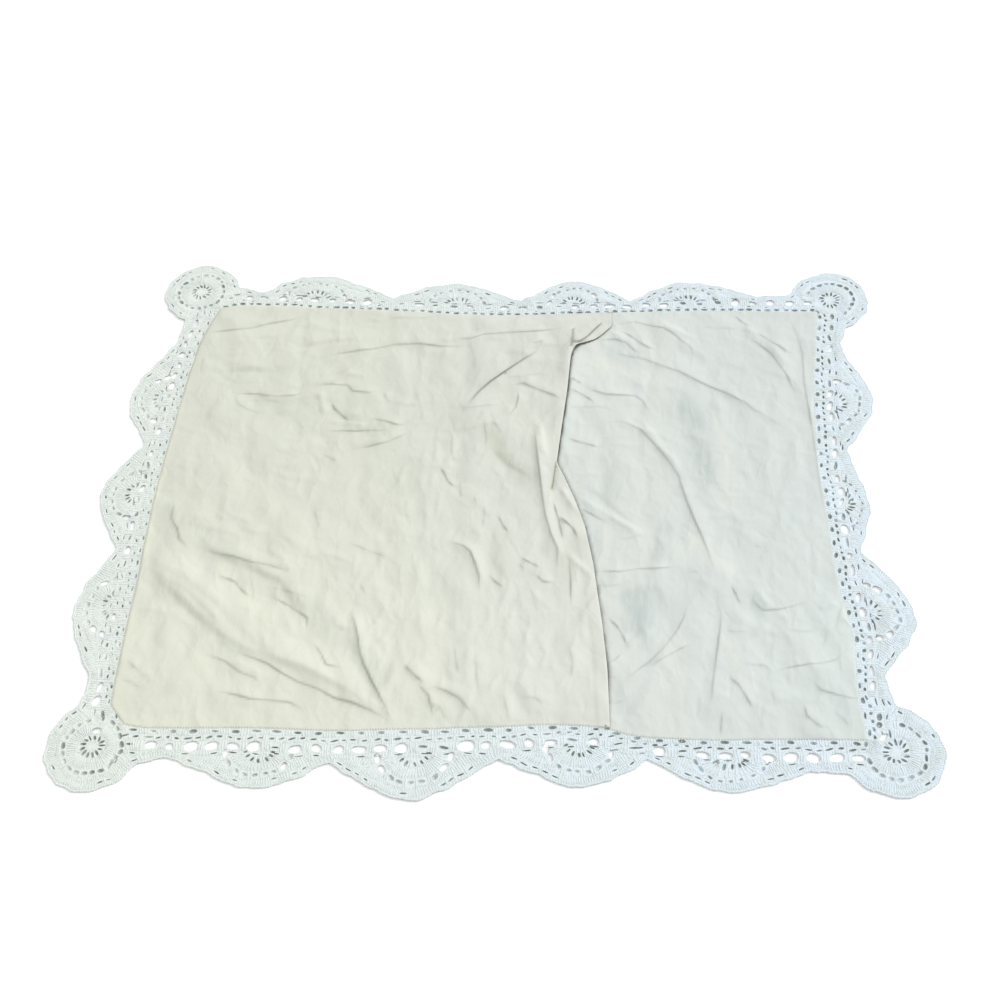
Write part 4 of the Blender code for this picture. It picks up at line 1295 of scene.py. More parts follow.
def all_holes():
    """Every opening of the lace."""
    random = np.random.default_rng(SEEDS["openings"])
    holes = list(SLACK_HOLES)
    for name, side in SIDES.items():
        holes += heading_holes(name, side, random)
        for index in range(len(side.fans)):
            holes += fan_holes(side, index, HEADINGS[name].pale, random)
    for corner in CORNERS.values():
        holes += corner_holes(corner, random)
    return holes + rim_slits(random)


# ---------------------------------------------------------------- crochet: yarn

# The middle of the yarn lies this high, and higher next to the cloth.
LACE_LIFT = 0.85
SEAM_LIFT = 0.75
SEAM_LIFT_REACH = 12.0
# The lace strays from its even plan in waves, but not next to the cloth.
STRAY = 0.27
STRAY_WAVES = 10
STRAY_LENGTHS = (2.2, 9.0)
STRAY_REACH = 8.0
# The ground: its own points are spaced evenly, off the rims and the openings; its rims are
# stepped at the lace's edge and at the cloth's.
GROUND_THICKNESS = 0.6
GROUND_RISE = 0.12
GROUND_REACH = (400, 330)
GROUND_SPACING = 5.0
GROUND_CLEARANCE = 2.2
GROUND_INSET = 0.5
GROUND_STEPS = (2.5, 4.0)
GROUND_OFF_HOLES = 1.2
WALL_REACH = 0.35
# Rows of stitches swell, rise and zigzag a little with each stitch.
STITCH = 2.4
RING_STEP = 0.8
YARN_SIDES = 5
NEARLY_UP = (0.02, 0.01, 1.0)
ROW_RADIUS = 0.62
ROW_OVER_HOLES = 0.1
ROW_POINTS = 260
# Lines, arcs and pieces of a row with no more points than this are left out.
SHORTEST_LINE = 5
SHORTEST_ARC = 6
SHORTEST_ROW = 3
RIM_RADIUS = 0.72
BEAD = 0.30
BEAD_LIFT = 0.15
ZIGZAG = 0.22
# Posts, the tall stitches: each has four points along it, which bow to the side, rise and swell.
POST_RADIUS = 0.52
POST_PITCH = 2.45
POST_LENGTHS = (1.4, 16.0)
POST_TESTS = (0.15, 0.38, 0.62, 0.85)
POST_OFF_HOLES = 0.25
POST_SHARES = (0.0, 0.3, 0.68, 1.0)
POST_BOW = (0.0, 0.22, -0.18, 0.0)
POST_BOW_STRAY = 0.12
POST_LIFT = (0.1, 0.3, 0.25, 0.1)
POST_LIFT_STRAY = 0.08
POST_SWELL = (1.1, 0.9, 1.15, 1.05)
POST_SWELLS = (0.85, 1.15)
POST_START = 1.2
POST_STRAY = 0.2
POST_LEAN = 0.35
# The rim's rows, and the band of posts between the last of them and the fans.
RIM_INSETS = (0.75, 2.7, 8.6)
BAND_START = 9.3
BAND_LONGEST = 11.0
BAND_STEP = 0.5
CORNER_ROWS = 3
CORNER_POINTS = 16
FEWEST_CORNER_POSTS = 4
# How far up the heading the fans' rows and posts stop, and how far inside a side's ends.
FAN_ROWS_STOP = 0.8
FAN_POSTS_STOP = 0.86
FAN_POSTS_TEST = 0.65
CORNER_STOP = 0.95
STOP_INSET = 3.0
FAN_RINGS = (0.16, 0.37, 0.58, 0.78)
FAN_POINTS = 80
CORNER_RINGS = (4.6, 12.4, 22.0, 30.0)
CORNER_RING_POINTS = 160
# Overcast stitches: pitch, where they start and stop short of the corners, and the distance
# outside the cloth and the height of each point along one.
LOOP_PITCH = 2.5
LOOP_ENDS = (1.0, 0.5)
LOOP_STRAY = 0.2
LOOP_LEAN = (0.8, 0.25)
LOOP_PATH = ((0.9, 1.8), (0.5, 2.1), (-0.2, 2.3), (-0.9, 2.32), (-1.5, 2.2))
LOOP_RADIUS = 0.18
LOOP_SIDES = 4


def on_lace(plan, lift):
    """Lace points over an even plan: it ripples off the surface, and its stitches stray."""
    wave = np.sin(plan[:, 0] / RIPPLE_LENGTH_X + RIPPLE_PHASE)
    wave = wave * np.cos(plan[:, 1] / RIPPLE_LENGTH_Y)
    clearance = edge_clearance(plan, cloth_loop())
    outside = smooth_step(clearance / RIPPLE_REACH)
    height = LACE_LIFT + SEAM_LIFT * np.exp(-clearance / SEAM_LIFT_REACH) + lift
    height = height + LACE_RIPPLE * (0.5 + 0.5 * wave) * outside
    random = np.random.default_rng(SEEDS["stray"])
    drift = np.zeros((len(plan), 2))
    for _ in range(STRAY_WAVES):
        turn, phase, other = random.uniform(0.0, 2.0 * math.pi, 3)
        along = plan @ directions(turn) / random.uniform(*STRAY_LENGTHS)
        drift += STRAY * np.column_stack([np.sin(along + phase), np.sin(along + other)])
    drift *= smooth_step(clearance / STRAY_REACH)[:, None]
    return np.column_stack([plan + drift, height])


def tubes(paths, radii, sides):
    """Yarns along paths of equal length: their points and faces, with closed ends."""
    count, rings = paths.shape[:2]
    along = np.gradient(paths, axis=1)
    along /= np.linalg.norm(along, axis=2, keepdims=True)
    across = np.cross(along, NEARLY_UP)
    across /= np.linalg.norm(across, axis=2, keepdims=True)
    above = np.cross(across, along)
    cosine, sine = directions(2.0 * math.pi * np.arange(sides) / sides).T[..., None]
    ring = cosine * across[:, :, None] + sine * above[:, :, None]
    points = (paths[:, :, None] + radii[:, :, None, None] * ring).reshape(-1, 3)
    index = np.arange(count * rings * sides).reshape(count, rings, sides)
    following = np.roll(index, -1, axis=2)
    quads = np.stack([index[:, :-1], index[:, 1:], following[:, 1:], following[:, :-1]], -1)
    faces = quads.reshape(-1, 4).tolist()
    faces += index[:, 0].tolist() + index[:, -1, ::-1].tolist()
    return points, faces


class Yarn:
    """Collects tubes into one piece."""

    def __init__(self):
        self.points = []
        self.faces = []
        self.count = 0

    def add(self, paths, radii, sides=YARN_SIDES):
        points, faces = tubes(paths, radii, sides)
        self.points.append(points)
        self.faces += [[corner + self.count for corner in face] for face in faces]
        self.count += len(points)

    def piece(self, name, material):
        return mesh_object(name, np.concatenate(self.points), self.faces, material)


def unbroken(mask, shortest):
    """First and last of each run of points in a mask that is longer than the shortest."""
    edges = np.flatnonzero(np.diff(np.concatenate([[0], mask.astype(int), [0]])))
    return [(first, last) for first, last in edges.reshape(-1, 2) if last - first > shortest]


def add_row(yarn, line, radius, holes, random, closed=False):
    """A row of stitches along a line, beaded stitch by stitch, open where the lace is open."""
    plan = resampled(line, RING_STEP, closed)
    if len(plan) <= SHORTEST_LINE:
        return
    run = np.gradient(plan, axis=0)
    run /= np.linalg.norm(run, axis=1)[:, None]
    place = np.arange(len(plan)) * RING_STEP
    phase = random.uniform(0.0, 2.0 * math.pi)
    sway = ZIGZAG * np.sin(math.pi * place / STITCH + phase)
    beat = np.sin(2.0 * math.pi * place / STITCH + phase)
    plan = plan + sway[:, None] * np.column_stack([-run[:, 1], run[:, 0]])
    size = radius * (1.0 + BEAD * beat)
    spots = on_lace(plan, BEAD_LIFT * beat)
    for first, last in unbroken(~in_holes(plan, holes, -ROW_OVER_HOLES), SHORTEST_ROW):
        yarn.add(spots[None, first:last], size[None, first:last])


def add_posts(yarn, inner, outer, holes, random):
    """Tall stitches between two lines of points, left out where the lace is open."""
    length = np.linalg.norm(outer - inner, axis=1)
    keep = (length > POST_LENGTHS[0]) & (length < POST_LENGTHS[1])
    for share in POST_TESTS:
        keep &= ~in_holes(inner + (outer - inner) * share, holes, POST_OFF_HOLES)
    inner, outer, length = inner[keep], outer[keep], length[keep]
    count = len(inner)
    if not count:
        return
    run = (outer - inner) / length[:, None]
    across = np.column_stack([-run[:, 1], run[:, 0]])
    bow = np.array(POST_BOW) * random.choice([-1.0, 1.0], (count, 1))
    bow = bow + random.normal(0.0, POST_BOW_STRAY, bow.shape)
    straight = inner[:, None] + (outer - inner)[:, None] * np.array(POST_SHARES)[:, None]
    plan = straight + across[:, None] * bow[..., None]
    lift = np.array(POST_LIFT) + random.normal(0.0, POST_LIFT_STRAY, bow.shape)
    size = POST_RADIUS * np.array(POST_SWELL) * random.uniform(*POST_SWELLS, bow.shape)
    yarn.add(on_lace(plan.reshape(-1, 2), lift.ravel()).reshape(*bow.shape, 3), size)


def side_row(side, share):
    """A line along a side at a share of the heading's depth."""
    along = np.linspace(*side_span(side), ROW_POINTS)
    return side_points(side, along, share * heading_depth(side, along))


def corner_row(name, sides, share):
    """A line round a cloth corner that joins two sides' rows."""
    corner = CORNERS[name]
    first, last = (outward_direction(side) for side in sides)
    start = math.atan2(first[1], first[0])
    turn = (math.atan2(last[1], last[0]) - start) % (2.0 * math.pi)
    ends = [share * float(heading_depth(side, corner[side.axis])) for side in sides]
    steps = np.linspace(0.0, 1.0, CORNER_POINTS)
    reach = ends[0] + (ends[1] - ends[0]) * steps
    return np.array([corner.x, corner.y]) + reach[:, None] * directions(start + turn * steps)


def add_heading(rows, posts, holes, random):
    """Rows and posts of the straight heading, carried round the cloth's corners."""
    for side in SIDES.values():
        first, last = side_span(side)
        for share in ROW_SHARES:
            add_row(rows, side_row(side, share), ROW_RADIUS, holes, random)
        along = np.arange(first + POST_START, last, POST_PITCH)
        along = along + random.normal(0.0, POST_STRAY, len(along))
        depth = heading_depth(side, along)
        for low, high in zip(ROW_SHARES[:-1], ROW_SHARES[1:]):
            lean = random.normal(0.0, POST_LEAN, len(along))
            add_posts(posts, side_points(side, along, low * depth),
                      side_points(side, along + lean, high * depth), holes, random)
    for name, _, corner, following in ROUTE:
        sides = SIDES[name], SIDES[following]
        lines = [corner_row(corner, sides, share) for share in ROW_SHARES[:CORNER_ROWS]]
        for line in lines:
            add_row(rows, line, ROW_RADIUS, holes, random)
        for low, high in zip(lines[:-1], lines[1:]):
            across = np.linalg.norm(high[-1] - high[0])
            count = max(int(across / POST_PITCH) + 2, FEWEST_CORNER_POSTS)
            stops = np.arange(CORNER_POINTS)
            places = np.linspace(0, CORNER_POINTS - 1, count)
            add_posts(posts, points_along(low, stops, places), points_along(high, stops, places),
                      holes, random)


def add_clear_row(yarn, line, stop, holes, random):
    """A row along a line, only where it is clear of the straight heading."""
    line = resampled(line, RING_STEP)
    for first, last in unbroken(~in_heading(line, stop, STOP_INSET), SHORTEST_ARC):
        add_row(yarn, line[first:last], ROW_RADIUS, holes, random)


def add_fans(rows, posts, holes, random):
    """Rings and radial posts of the side fans and the corner fans."""
    for side in SIDES.values():
        for index in range(len(side.fans)):
            fan = fan_shape(side, index)
            turns = np.linspace(-math.pi / 2, math.pi / 2, FAN_POINTS)
            for share in FAN_RINGS:
                ring = fan_point(side, fan, share, turns)
                add_clear_row(rows, ring, FAN_ROWS_STOP, holes, random)
            for low, high in zip(FAN_RINGS[:-1], FAN_RINGS[1:]):
                count = int(math.pi * high * fan.rise / POST_PITCH)
                turns = np.linspace(-math.pi / 2, math.pi / 2, count)
                inner = fan_point(side, fan, low, turns)
                outer = fan_point(side, fan, high, turns)
                tested = (1.0 - FAN_POSTS_TEST) * inner + FAN_POSTS_TEST * outer
                clear = ~in_heading(tested, FAN_POSTS_STOP, STOP_INSET)
                add_posts(posts, inner[clear], outer[clear], holes, random)
    for corner in CORNERS.values():
        centre = np.array([corner.fan_x, corner.fan_y], float)
        rays = directions(np.linspace(0.0, 2.0 * math.pi, CORNER_RING_POINTS))
        for radius in CORNER_RINGS:
            add_clear_row(rows, centre + radius * rays, CORNER_STOP, holes, random)
        for low, high in zip(CORNER_RINGS[:-1], CORNER_RINGS[1:]):
            count = int(2.0 * math.pi * high / POST_PITCH)
            rays = directions(np.linspace(0.0, 2.0 * math.pi, count, endpoint=False))
            inner, outer = centre + low * rays, centre + high * rays
            clear = ~in_heading(outer, CORNER_STOP, STOP_INSET)
            clear &= ~in_heading(inner, CORNER_STOP, STOP_INSET)
            add_posts(posts, inner[clear], outer[clear], holes, random)


def in_fans(points):
    """Which points lie inside the rings of a fan."""
    found = np.zeros(len(points), bool)
    for side in SIDES.values():
        along = points[:, side.axis]
        depth = points[:, 1 - side.axis] * side.outward - cloth_depth(side, along)
        for index in range(len(side.fans)):
            fan = fan_shape(side, index)
            u = (along - fan.middle) / (FAN_RINGS[-1] * fan.reach)
            v = (depth - fan.centre) / (FAN_RINGS[-1] * fan.rise)
            found |= (u ** 2 + v ** 2 < 1.0) & (depth > fan.centre)
    for corner in CORNERS.values():
        gap = np.hypot(points[:, 0] - corner.fan_x, points[:, 1] - corner.fan_y)
        found |= gap < CORNER_RINGS[-1]
    return found


def add_rim(rows, posts, holes, random):
    """Rows that follow the scalloped rim, and the tall stitches between them and the fans."""
    for inset, radius in zip(RIM_INSETS, (RIM_RADIUS, ROW_RADIUS, ROW_RADIUS)):
        loop = resampled(RIM, RIM_STEP, closed=True)[:-1]
        line = loop - loop_normals(loop) * inset
        add_row(rows, line, radius, holes, random, closed=True)
    rim = resampled(RIM, POST_PITCH, closed=True)[:-1]
    normals = loop_normals(rim)
    add_posts(posts, rim - normals * RIM_INSETS[2], rim - normals * RIM_INSETS[1], holes, random)
    # From the last rim row, each post runs inwards until it meets a fan's ring or the heading.
    # Where that is far, two posts share the way, with a row between them.
    starts = rim - normals * BAND_START
    farthest = 2.0 * BAND_LONGEST
    reach = np.full(len(rim), farthest)
    for distance in np.arange(farthest, -BAND_STEP / 2, -BAND_STEP):
        spots = starts - normals * distance
        stopped = in_heading(spots, FAN_POSTS_STOP) | in_fans(spots)
        reach = np.where(stopped, distance, reach)
    ends = starts - normals * reach[:, None]
    middles = starts - normals * (reach / 2)[:, None]
    short = reach <= BAND_LONGEST
    add_posts(posts, ends[short], starts[short], holes, random)
    add_posts(posts, middles[~short], starts[~short], holes, random)
    add_posts(posts, ends[~short], middles[~short], holes, random)
    for first, last in unbroken(~short, SHORTEST_ROW):
        add_row(rows, middles[first:last], ROW_RADIUS, holes, random)


def add_loops(yarn, random):
    """Overcast stitches that take the lace's first row over the cloth's edge."""
    for side in SIDES.values():
        first, last = side_span(side)
        along = np.arange(first + LOOP_ENDS[0], last - LOOP_ENDS[1], LOOP_PITCH)
        along = along + random.normal(0.0, LOOP_STRAY, len(along))
        lean = random.normal(*LOOP_LEAN, len(along))
        paths = []
        for step, (out, height) in enumerate(LOOP_PATH):
            spots = side_points(side, along + lean * step / (len(LOOP_PATH) - 1), out)
            paths.append(np.column_stack([spots, np.full(len(spots), height)]))
        paths = np.stack(paths, 1)
        yarn.add(paths, np.full(paths.shape[:2], LOOP_RADIUS), LOOP_SIDES)


def inside_loop(points, loop):
    """Which points lie inside a closed outline, by counting crossings."""
    following = np.roll(loop, -1, axis=0)
    result = np.zeros(len(points), bool)
    for (x1, y1), (x2, y2) in zip(loop, following):
        if y1 != y2:
            crosses = (y1 > points[:, 1]) != (y2 > points[:, 1])
            result ^= crosses & (points[:, 0] < (x2 - x1) * (points[:, 1] - y1) / (y2 - y1) + x1)
    return result


def is_small(hole):
    """Whether an opening is one of those whose walls take painted shade."""
    return hole.length * hole.width < SMALL_HOLE


def thick_ground(plan, faces, small_holes):
    """The ground's points and faces, and which painted shade the walls round a small opening take.
    """
    top = on_lace(plan, GROUND_THICKNESS / 2 + GROUND_RISE)
    count = len(plan)
    corners = np.array(faces)
    edges = np.concatenate([corners[:, [0, 1]], corners[:, [1, 2]], corners[:, [2, 0]]])
    both = set(map(tuple, edges.tolist()))
    lone = np.array([edge for edge in edges.tolist() if (edge[1], edge[0]) not in both])
    dark = in_holes(plan[lone].mean(1), small_holes, WALL_REACH)
    white, shaded = lone[~dark], lone[dark]
    # Round a small opening the walls narrow like a funnel, nearly closed, and take painted shade.
    centres = np.array(small_holes, float)[:, :2]
    used, place = np.unique(shaded, return_inverse=True)
    gaps = np.linalg.norm(plan[used][:, None] - centres, axis=2)
    middle = centres[gaps.argmin(1)]
    middle = middle + (top[used, :2] - plan[used])
    deep = top[used].copy()
    deep[:, :2] = middle + FUNNEL * (deep[:, :2] - middle)
    deep[:, 2] = np.maximum(deep[:, 2] - WALL_DEPTH, FLOOR_CLEARANCE)
    place = place.reshape(shaded.shape) + 2 * count
    walls = np.column_stack([white[:, ::-1], white + count])
    funnels = np.column_stack([shaded[:, ::-1], place])
    solid = faces + (corners[:, ::-1] + count).tolist() + walls.tolist() + funnels.tolist()
    owner = np.linalg.norm(plan[shaded].mean(1)[:, None] - centres, axis=2).argmin(1)
    marks = np.zeros(len(solid), int)
    marks[len(solid) - len(funnels):] = 1 + np.array([hole.pale for hole in small_holes])[owner]
    bottom = top - (0.0, 0.0, GROUND_THICKNESS)
    return np.concatenate([top, bottom, deep]), solid, marks


def lace_ground(holes, materials):
    """The thin ground of the lace, open wherever the crochet is, and its plan area."""
    rim = resampled(RIM, GROUND_STEPS[0], closed=True)[:-1]
    inner = resampled(cloth_loop(SEAM_GAP), GROUND_STEPS[1], closed=True)[:-1]
    rim = rim - loop_normals(rim) * GROUND_INSET
    fill = pairs(*(np.arange(-half, half + 1, GROUND_SPACING) for half in GROUND_REACH))
    fill = fill[inside_loop(fill, rim) & ~inside_loop(fill, inner)]
    fill = fill[(edge_clearance(fill, rim) > GROUND_CLEARANCE)
                & (edge_clearance(fill, inner) > GROUND_CLEARANCE)]
    fill = fill[~in_holes(fill, holes, GROUND_OFF_HOLES)]
    loops = [rim, inner] + [hole_polygon(hole) for hole in holes]
    faces, start = [], 0
    for loop in loops:
        faces.append(list(range(start, start + len(loop))))
        start += len(loop)
    flat = [Vector(point) for point in np.concatenate(loops + [fill])]
    cut = delaunay_2d_cdt(flat, [], faces, 1, MERGE_DISTANCE, True)
    spots, triangles, owners = cut[0], cut[2], cut[5]
    # The lace is what lies in the rim's face alone, and not in the cloth's or an opening's.
    kept = [corners for corners, owner in zip(triangles, owners) if list(owner) == [0]]
    used = sorted({corner for corners in kept for corner in corners})
    place = {corner: index for index, corner in enumerate(used)}
    plan = np.array([spots[corner] for corner in used], float)
    faces = [[place[corner] for corner in corners] for corners in kept]
    points, solid, shaded = thick_ground(plan, faces, [hole for hole in holes if is_small(hole)])
    ground = mesh_object("lace_ground", points, solid, materials[0])
    for material in materials[1:]:
        ground.data.materials.append(material)
    ground.data.polygons.foreach_set("material_index", shaded)
    ground.data.shade_flat()
    a, b, c = (plan[np.array(faces)[:, i]] for i in range(3))
    doubled = (b - a)[:, 0] * (c - a)[:, 1] - (b - a)[:, 1] * (c - a)[:, 0]
    return ground, 0.5 * float(np.abs(doubled).sum()) * MM ** 2


# ---------------------------------------------------------------- materials

# Places and the distances of bumps are in metres. A noise is given as its scale in cells to the
# metre, detail, roughness, stretch and turn in degrees, a bump as its strength and distance, a
# span as where its ramp starts and ends, and a finish as its roughness and sheen.
STILL = (1.0, 1.0, 1.0)
SHEEN_ROUGHNESS = 0.6
SPECULAR_LEVEL = 0.25
CRUMPLE_BEND = 0.02
CRUMPLE_BEND_SCALE = 0.8
CRUMPLE_STRETCH = (1.0, 0.6, 1.0)
CRUMPLE_EDGE = 0.35
# The weave: the wave texture's scales across the two axes, and how unevenly the threads run.
WEAVE_SCALES = {"X": 560.0, "Y": 520.8}
WEAVE_DISTORTION = 1.4
WEAVE_DETAIL = 2.0
WEAVE_DETAIL_SCALE = 1.5
WEAVE_BUMP = (0.22, 0.0001)
# Scale and turn of the nets of fine creases, with their bumps.
CREASE_NETS = ((26.0, 35.0, 0.5, 0.0020), (60.0, -30.0, 0.3, 0.0009))
RUMPLE_NOISE = (110.0, 4.0, 0.6, (1.0, 0.6, 1.0), -30.0)
RUMPLE_BUMP = (0.4, 0.0008)
# Where along the cloth the colours of its lower edge turn into those of its upper one.
TINT_RISE = (-0.22, 0.14)
BLOTCH_NOISE = (14.0, 4.0, 0.6, (1.3, 0.5, 1.0), 8.0)
FIBRE_NOISE = (420.0, 3.0, 0.6)
FIBRE_SPAN = (0.45, 0.75)
FIBRE_SHARE = 0.16
STREAK_NOISE = (80.0, 4.0, 0.65, (1.0, 0.22, 1.0))
STREAK_SPAN = (0.28, 0.62)
SHADED_SPAN = (0.0, 0.8)
PAINTED_LIGHT_SPAN = (0.0, -1.0)
COTTON_FINISH = (0.88, 0.12)
# Where the yarn's colour turns bluer towards the window, with painted cool window light.
YARN_WINDOW_LIGHT_TURN = (-0.34, 0.30)
WORN_NOISE = (60.0, 3.0, 0.6)
WORN_SHARE = 0.6
SPECK_NOISE = (330.0, 3.0, 0.7)
SPECK_SPAN = (0.50, 0.70)
SPECK_SHARE = 0.4
TWIST_NOISE = (700.0, 4.0, 0.65, (1.0, 1.0, 0.5), 25.0)
TWIST_BUMP = (0.8, 0.0005)
FUZZ_NOISE = (2600.0, 2.0, 0.6)
FUZZ_BUMP = (0.3, 0.0001)
YARN_FINISH = (0.82, 0.15)
FLOOR_NOISE = (3.0, 2.0, 0.55)
FLOOR_SHARE = 0.25
GRAIN_NOISE = (400.0, 2.0, 0.55)
GRAIN_BUMP = (0.03, 0.0002)
FLOOR_FINISH = (0.9, 0.0)


def srgb(red, green, blue):
    """A colour given as 0 to 255 display values, as the shader wants it: the sRGB curve undone."""
    return tuple(((c / 255 + 0.055) / 1.055) ** 2.4 for c in (red, green, blue)) + (1.0,)


class Nodes:
    """A short way to write a material's node tree."""

    def __init__(self, name):
        self.material = bpy.data.materials.new(name)
        self.material.use_nodes = True
        self.tree = self.material.node_tree
        self.shader = self.tree.nodes["Principled BSDF"]
        self.place = self.node("TexCoord").outputs["Object"]

    def feed(self, node, inputs):
        """Set a node's inputs: outputs of other nodes are linked, plain values are written."""
        for socket, value in inputs.items():
            if isinstance(value, bpy.types.NodeSocket):
                self.tree.links.new(value, node.inputs[socket])
            else:
                node.inputs[socket].default_value = value

    def node(self, kind, inputs=None, **settings):
        """A new node with its settings and inputs."""
        node = self.tree.nodes.new("ShaderNode" + kind)
        for name, value in settings.items():
            setattr(node, name, value)
        self.feed(node, inputs or {})
        return node

    def turned(self, place, stretch, turn):
        """Coordinates stretched, and turned about Z by degrees."""
        angles = (0.0, 0.0, math.radians(turn))
        mapping = self.node("Mapping", {"Vector": place, "Scale": stretch, "Rotation": angles})
        return mapping.outputs["Vector"]

    def noise(self, scale, detail, roughness, stretch=STILL, turn=0.0):
        """Noise over the piece's own coordinates, stretched and turned about Z."""
        place = self.turned(self.place, stretch, turn)
        noise = self.node("TexNoise", {"Vector": place, "Scale": scale, "Detail": detail,
                                       "Roughness": roughness})
        return noise.outputs["Fac"]

    def ramp(self, value, low, high):
        """0 where a value is at or below low, 1 at or above high."""
        spread = self.node("MapRange", {"Value": value, "From Min": low, "From Max": high},
                           interpolation_type="SMOOTHSTEP")
        return spread.outputs["Result"]

    def along(self, axis, low, high):
        """0 to 1 from one place to another along an axis, in metres."""
        return self.ramp(self.node("SeparateXYZ", {"Vector": self.place}).outputs[axis], low, high)

    def layer(self, name):
        """A value that the mesh holds at each point."""
        return self.node("Attribute", attribute_name=name).outputs["Fac"]

    def combined(self, operation, first, second):
        """Two values multiplied or added."""
        return self.node("Math", {0: first, 1: second}, operation=operation).outputs[0]

    def mix(self, share, first, second):
        """Blend two colours by a share."""
        return self.node("Mix", {0: share, 6: first, 7: second}, data_type="RGBA").outputs[2]

    def bump(self, height, strength, distance, before=None):
        """Bump from a height, on top of an earlier bump."""
        bump = self.node("Bump", {"Height": height, "Strength": strength, "Distance": distance})
        if before is not None:
            self.feed(bump, {"Normal": before})
        return bump.outputs["Normal"]

    def threads(self, axis, scale):
        """Ridges of thread across one axis."""
        wave = self.node("TexWave", {"Vector": self.place, "Scale": scale,
                                     "Distortion": WEAVE_DISTORTION, "Detail": WEAVE_DETAIL,
                                     "Detail Scale": WEAVE_DETAIL_SCALE}, bands_direction=axis)
        return wave.outputs["Fac"]

    def crumple(self, scale, turn):
        """A net of fine creases: distance to the edges of bent cells."""
        warp = self.node("TexNoise", {"Vector": self.place, "Scale": scale * CRUMPLE_BEND_SCALE})
        bend = self.node("Mix", {0: CRUMPLE_BEND, 4: self.place, 5: warp.outputs["Color"]},
                         data_type="VECTOR")
        place = self.turned(bend.outputs[1], CRUMPLE_STRETCH, turn)
        cells = self.node("TexVoronoi", {"Vector": place, "Scale": scale},
                          feature="DISTANCE_TO_EDGE")
        return self.ramp(cells.outputs["Distance"], 0.0, CRUMPLE_EDGE)

    def finish(self, colour, normal, roughness, sheen):
        """The material, with its shader's inputs set."""
        self.feed(self.shader, {"Base Color": colour, "Normal": normal, "Roughness": roughness,
                                "Sheen Weight": sheen, "Sheen Roughness": SHEEN_ROUGHNESS,
                                "Specular IOR Level": SPECULAR_LEVEL})
        return self.material


# Colours at the four corners of a cloth, whose right ones are cooler with painted window light,
# of its faint blotches, of the painted shade along its crease lines and of its patches of painted
# shade and painted light; where its left colours turn into its right ones; the blotches' span.
Tint = namedtuple("Tint", "low_left low_right high_left high_right blotch crease shaded pale "
                          "turn spots")
WARM = Tint(srgb(208, 209, 193), srgb(206, 208, 198), srgb(201, 203, 189), srgb(200, 202, 193),
            srgb(198, 200, 188), srgb(113, 111, 97), srgb(186, 190, 176), srgb(221, 220, 203),
            (-0.25, 0.10), (0.56, 0.74))
# The narrow panel: the cotton's cream, made cooler with painted cool window light.
WINDOW_TINTED = Tint(srgb(204, 207, 200), srgb(201, 207, 203), srgb(202, 206, 199), srgb(198, 203, 199),
            srgb(195, 201, 198), srgb(107, 111, 103), srgb(182, 190, 186), srgb(218, 220, 207),
            (0.08, 0.30), (0.50, 0.70))
FACE = Tint(srgb(212, 212, 196), srgb(210, 211, 200), srgb(212, 212, 196), srgb(210, 211, 200),
            srgb(204, 204, 191), srgb(113, 111, 97), srgb(186, 191, 184), srgb(222, 221, 200),
            (-0.3, 0.3), (0.50, 0.80))


def cotton(name, tint):
    """Plain-woven cotton: threads, small rumples, washed-out tints, painted shade along crease
    lines and soft patches of painted light and shade.
    """
    cloth = Nodes(name)
    # Across the cloth its colour turns cooler with painted window light.
    across = cloth.along("X", *tint.turn)
    low = cloth.mix(across, tint.low_left, tint.low_right)
    high = cloth.mix(across, tint.high_left, tint.high_right)
    broad = cloth.mix(cloth.along("Y", *TINT_RISE), low, high)
    spots = cloth.ramp(cloth.noise(*BLOTCH_NOISE), *tint.spots)
    tinted = cloth.mix(spots, broad, tint.blotch)
    fibres = cloth.ramp(cloth.noise(*FIBRE_NOISE), *FIBRE_SPAN)
    tinted = cloth.mix(cloth.combined("MULTIPLY", fibres, FIBRE_SHARE), tinted, tint.blotch)
    # Patches of painted shade, streaked, and of painted light.
    painted_light_shade = cloth.layer("painted_light_shade")
    streaks = cloth.ramp(cloth.noise(*STREAK_NOISE), *STREAK_SPAN)
    shaded = cloth.combined("MULTIPLY", cloth.ramp(painted_light_shade, *SHADED_SPAN), streaks)
    tinted = cloth.mix(shaded, tinted, tint.shaded)
    tinted = cloth.mix(cloth.ramp(painted_light_shade, *PAINTED_LIGHT_SPAN), tinted, tint.pale)
    # Painted shade along the crease lines and in the gap beside the opening edge.
    colour = cloth.mix(cloth.layer("crease_shade"), tinted, tint.crease)
    normal = None
    for scale, turn, strength, distance in CREASE_NETS:
        normal = cloth.bump(cloth.crumple(scale, turn), strength, distance, normal)
    normal = cloth.bump(cloth.noise(*RUMPLE_NOISE), *RUMPLE_BUMP, normal)
    threads = [cloth.threads(axis, scale) for axis, scale in WEAVE_SCALES.items()]
    normal = cloth.bump(cloth.combined("ADD", *threads), *WEAVE_BUMP, normal)
    return cloth.finish(colour, normal, *COTTON_FINISH)


# Colours of a yarn at the left, at the right towards the window, which is bluer with painted cool
# window light, and where it is worn, and the span of its worn patches. The shades for the walls of
# small openings are painted shade, a dark one and a paler one; their worn colour is the darkest
# painted shade.
Shades = namedtuple("Shades", "left right worn patches")
YARN = Shades(srgb(216, 221, 214), srgb(211, 222, 228), srgb(205, 212, 209), (0.40, 0.70))
# The overcast stitches' own cream, made paler still with painted light that offsets the shade on
# them.
HEM_YARN = Shades(srgb(240, 238, 225), srgb(234, 238, 233), srgb(236, 236, 226), (0.40, 0.70))
HOLE_PAINTED_SHADE_DARK = Shades(srgb(184, 189, 181), srgb(172, 184, 189), srgb(92, 99, 93), (0.38, 0.56))
HOLE_PAINTED_SHADE_PALE = Shades(srgb(201, 207, 199), srgb(188, 200, 207), srgb(140, 148, 142), (0.45, 0.65))
SPECKS = srgb(180, 188, 183)
FLOOR_COLOURS = (srgb(254, 254, 254), srgb(252, 252, 252))


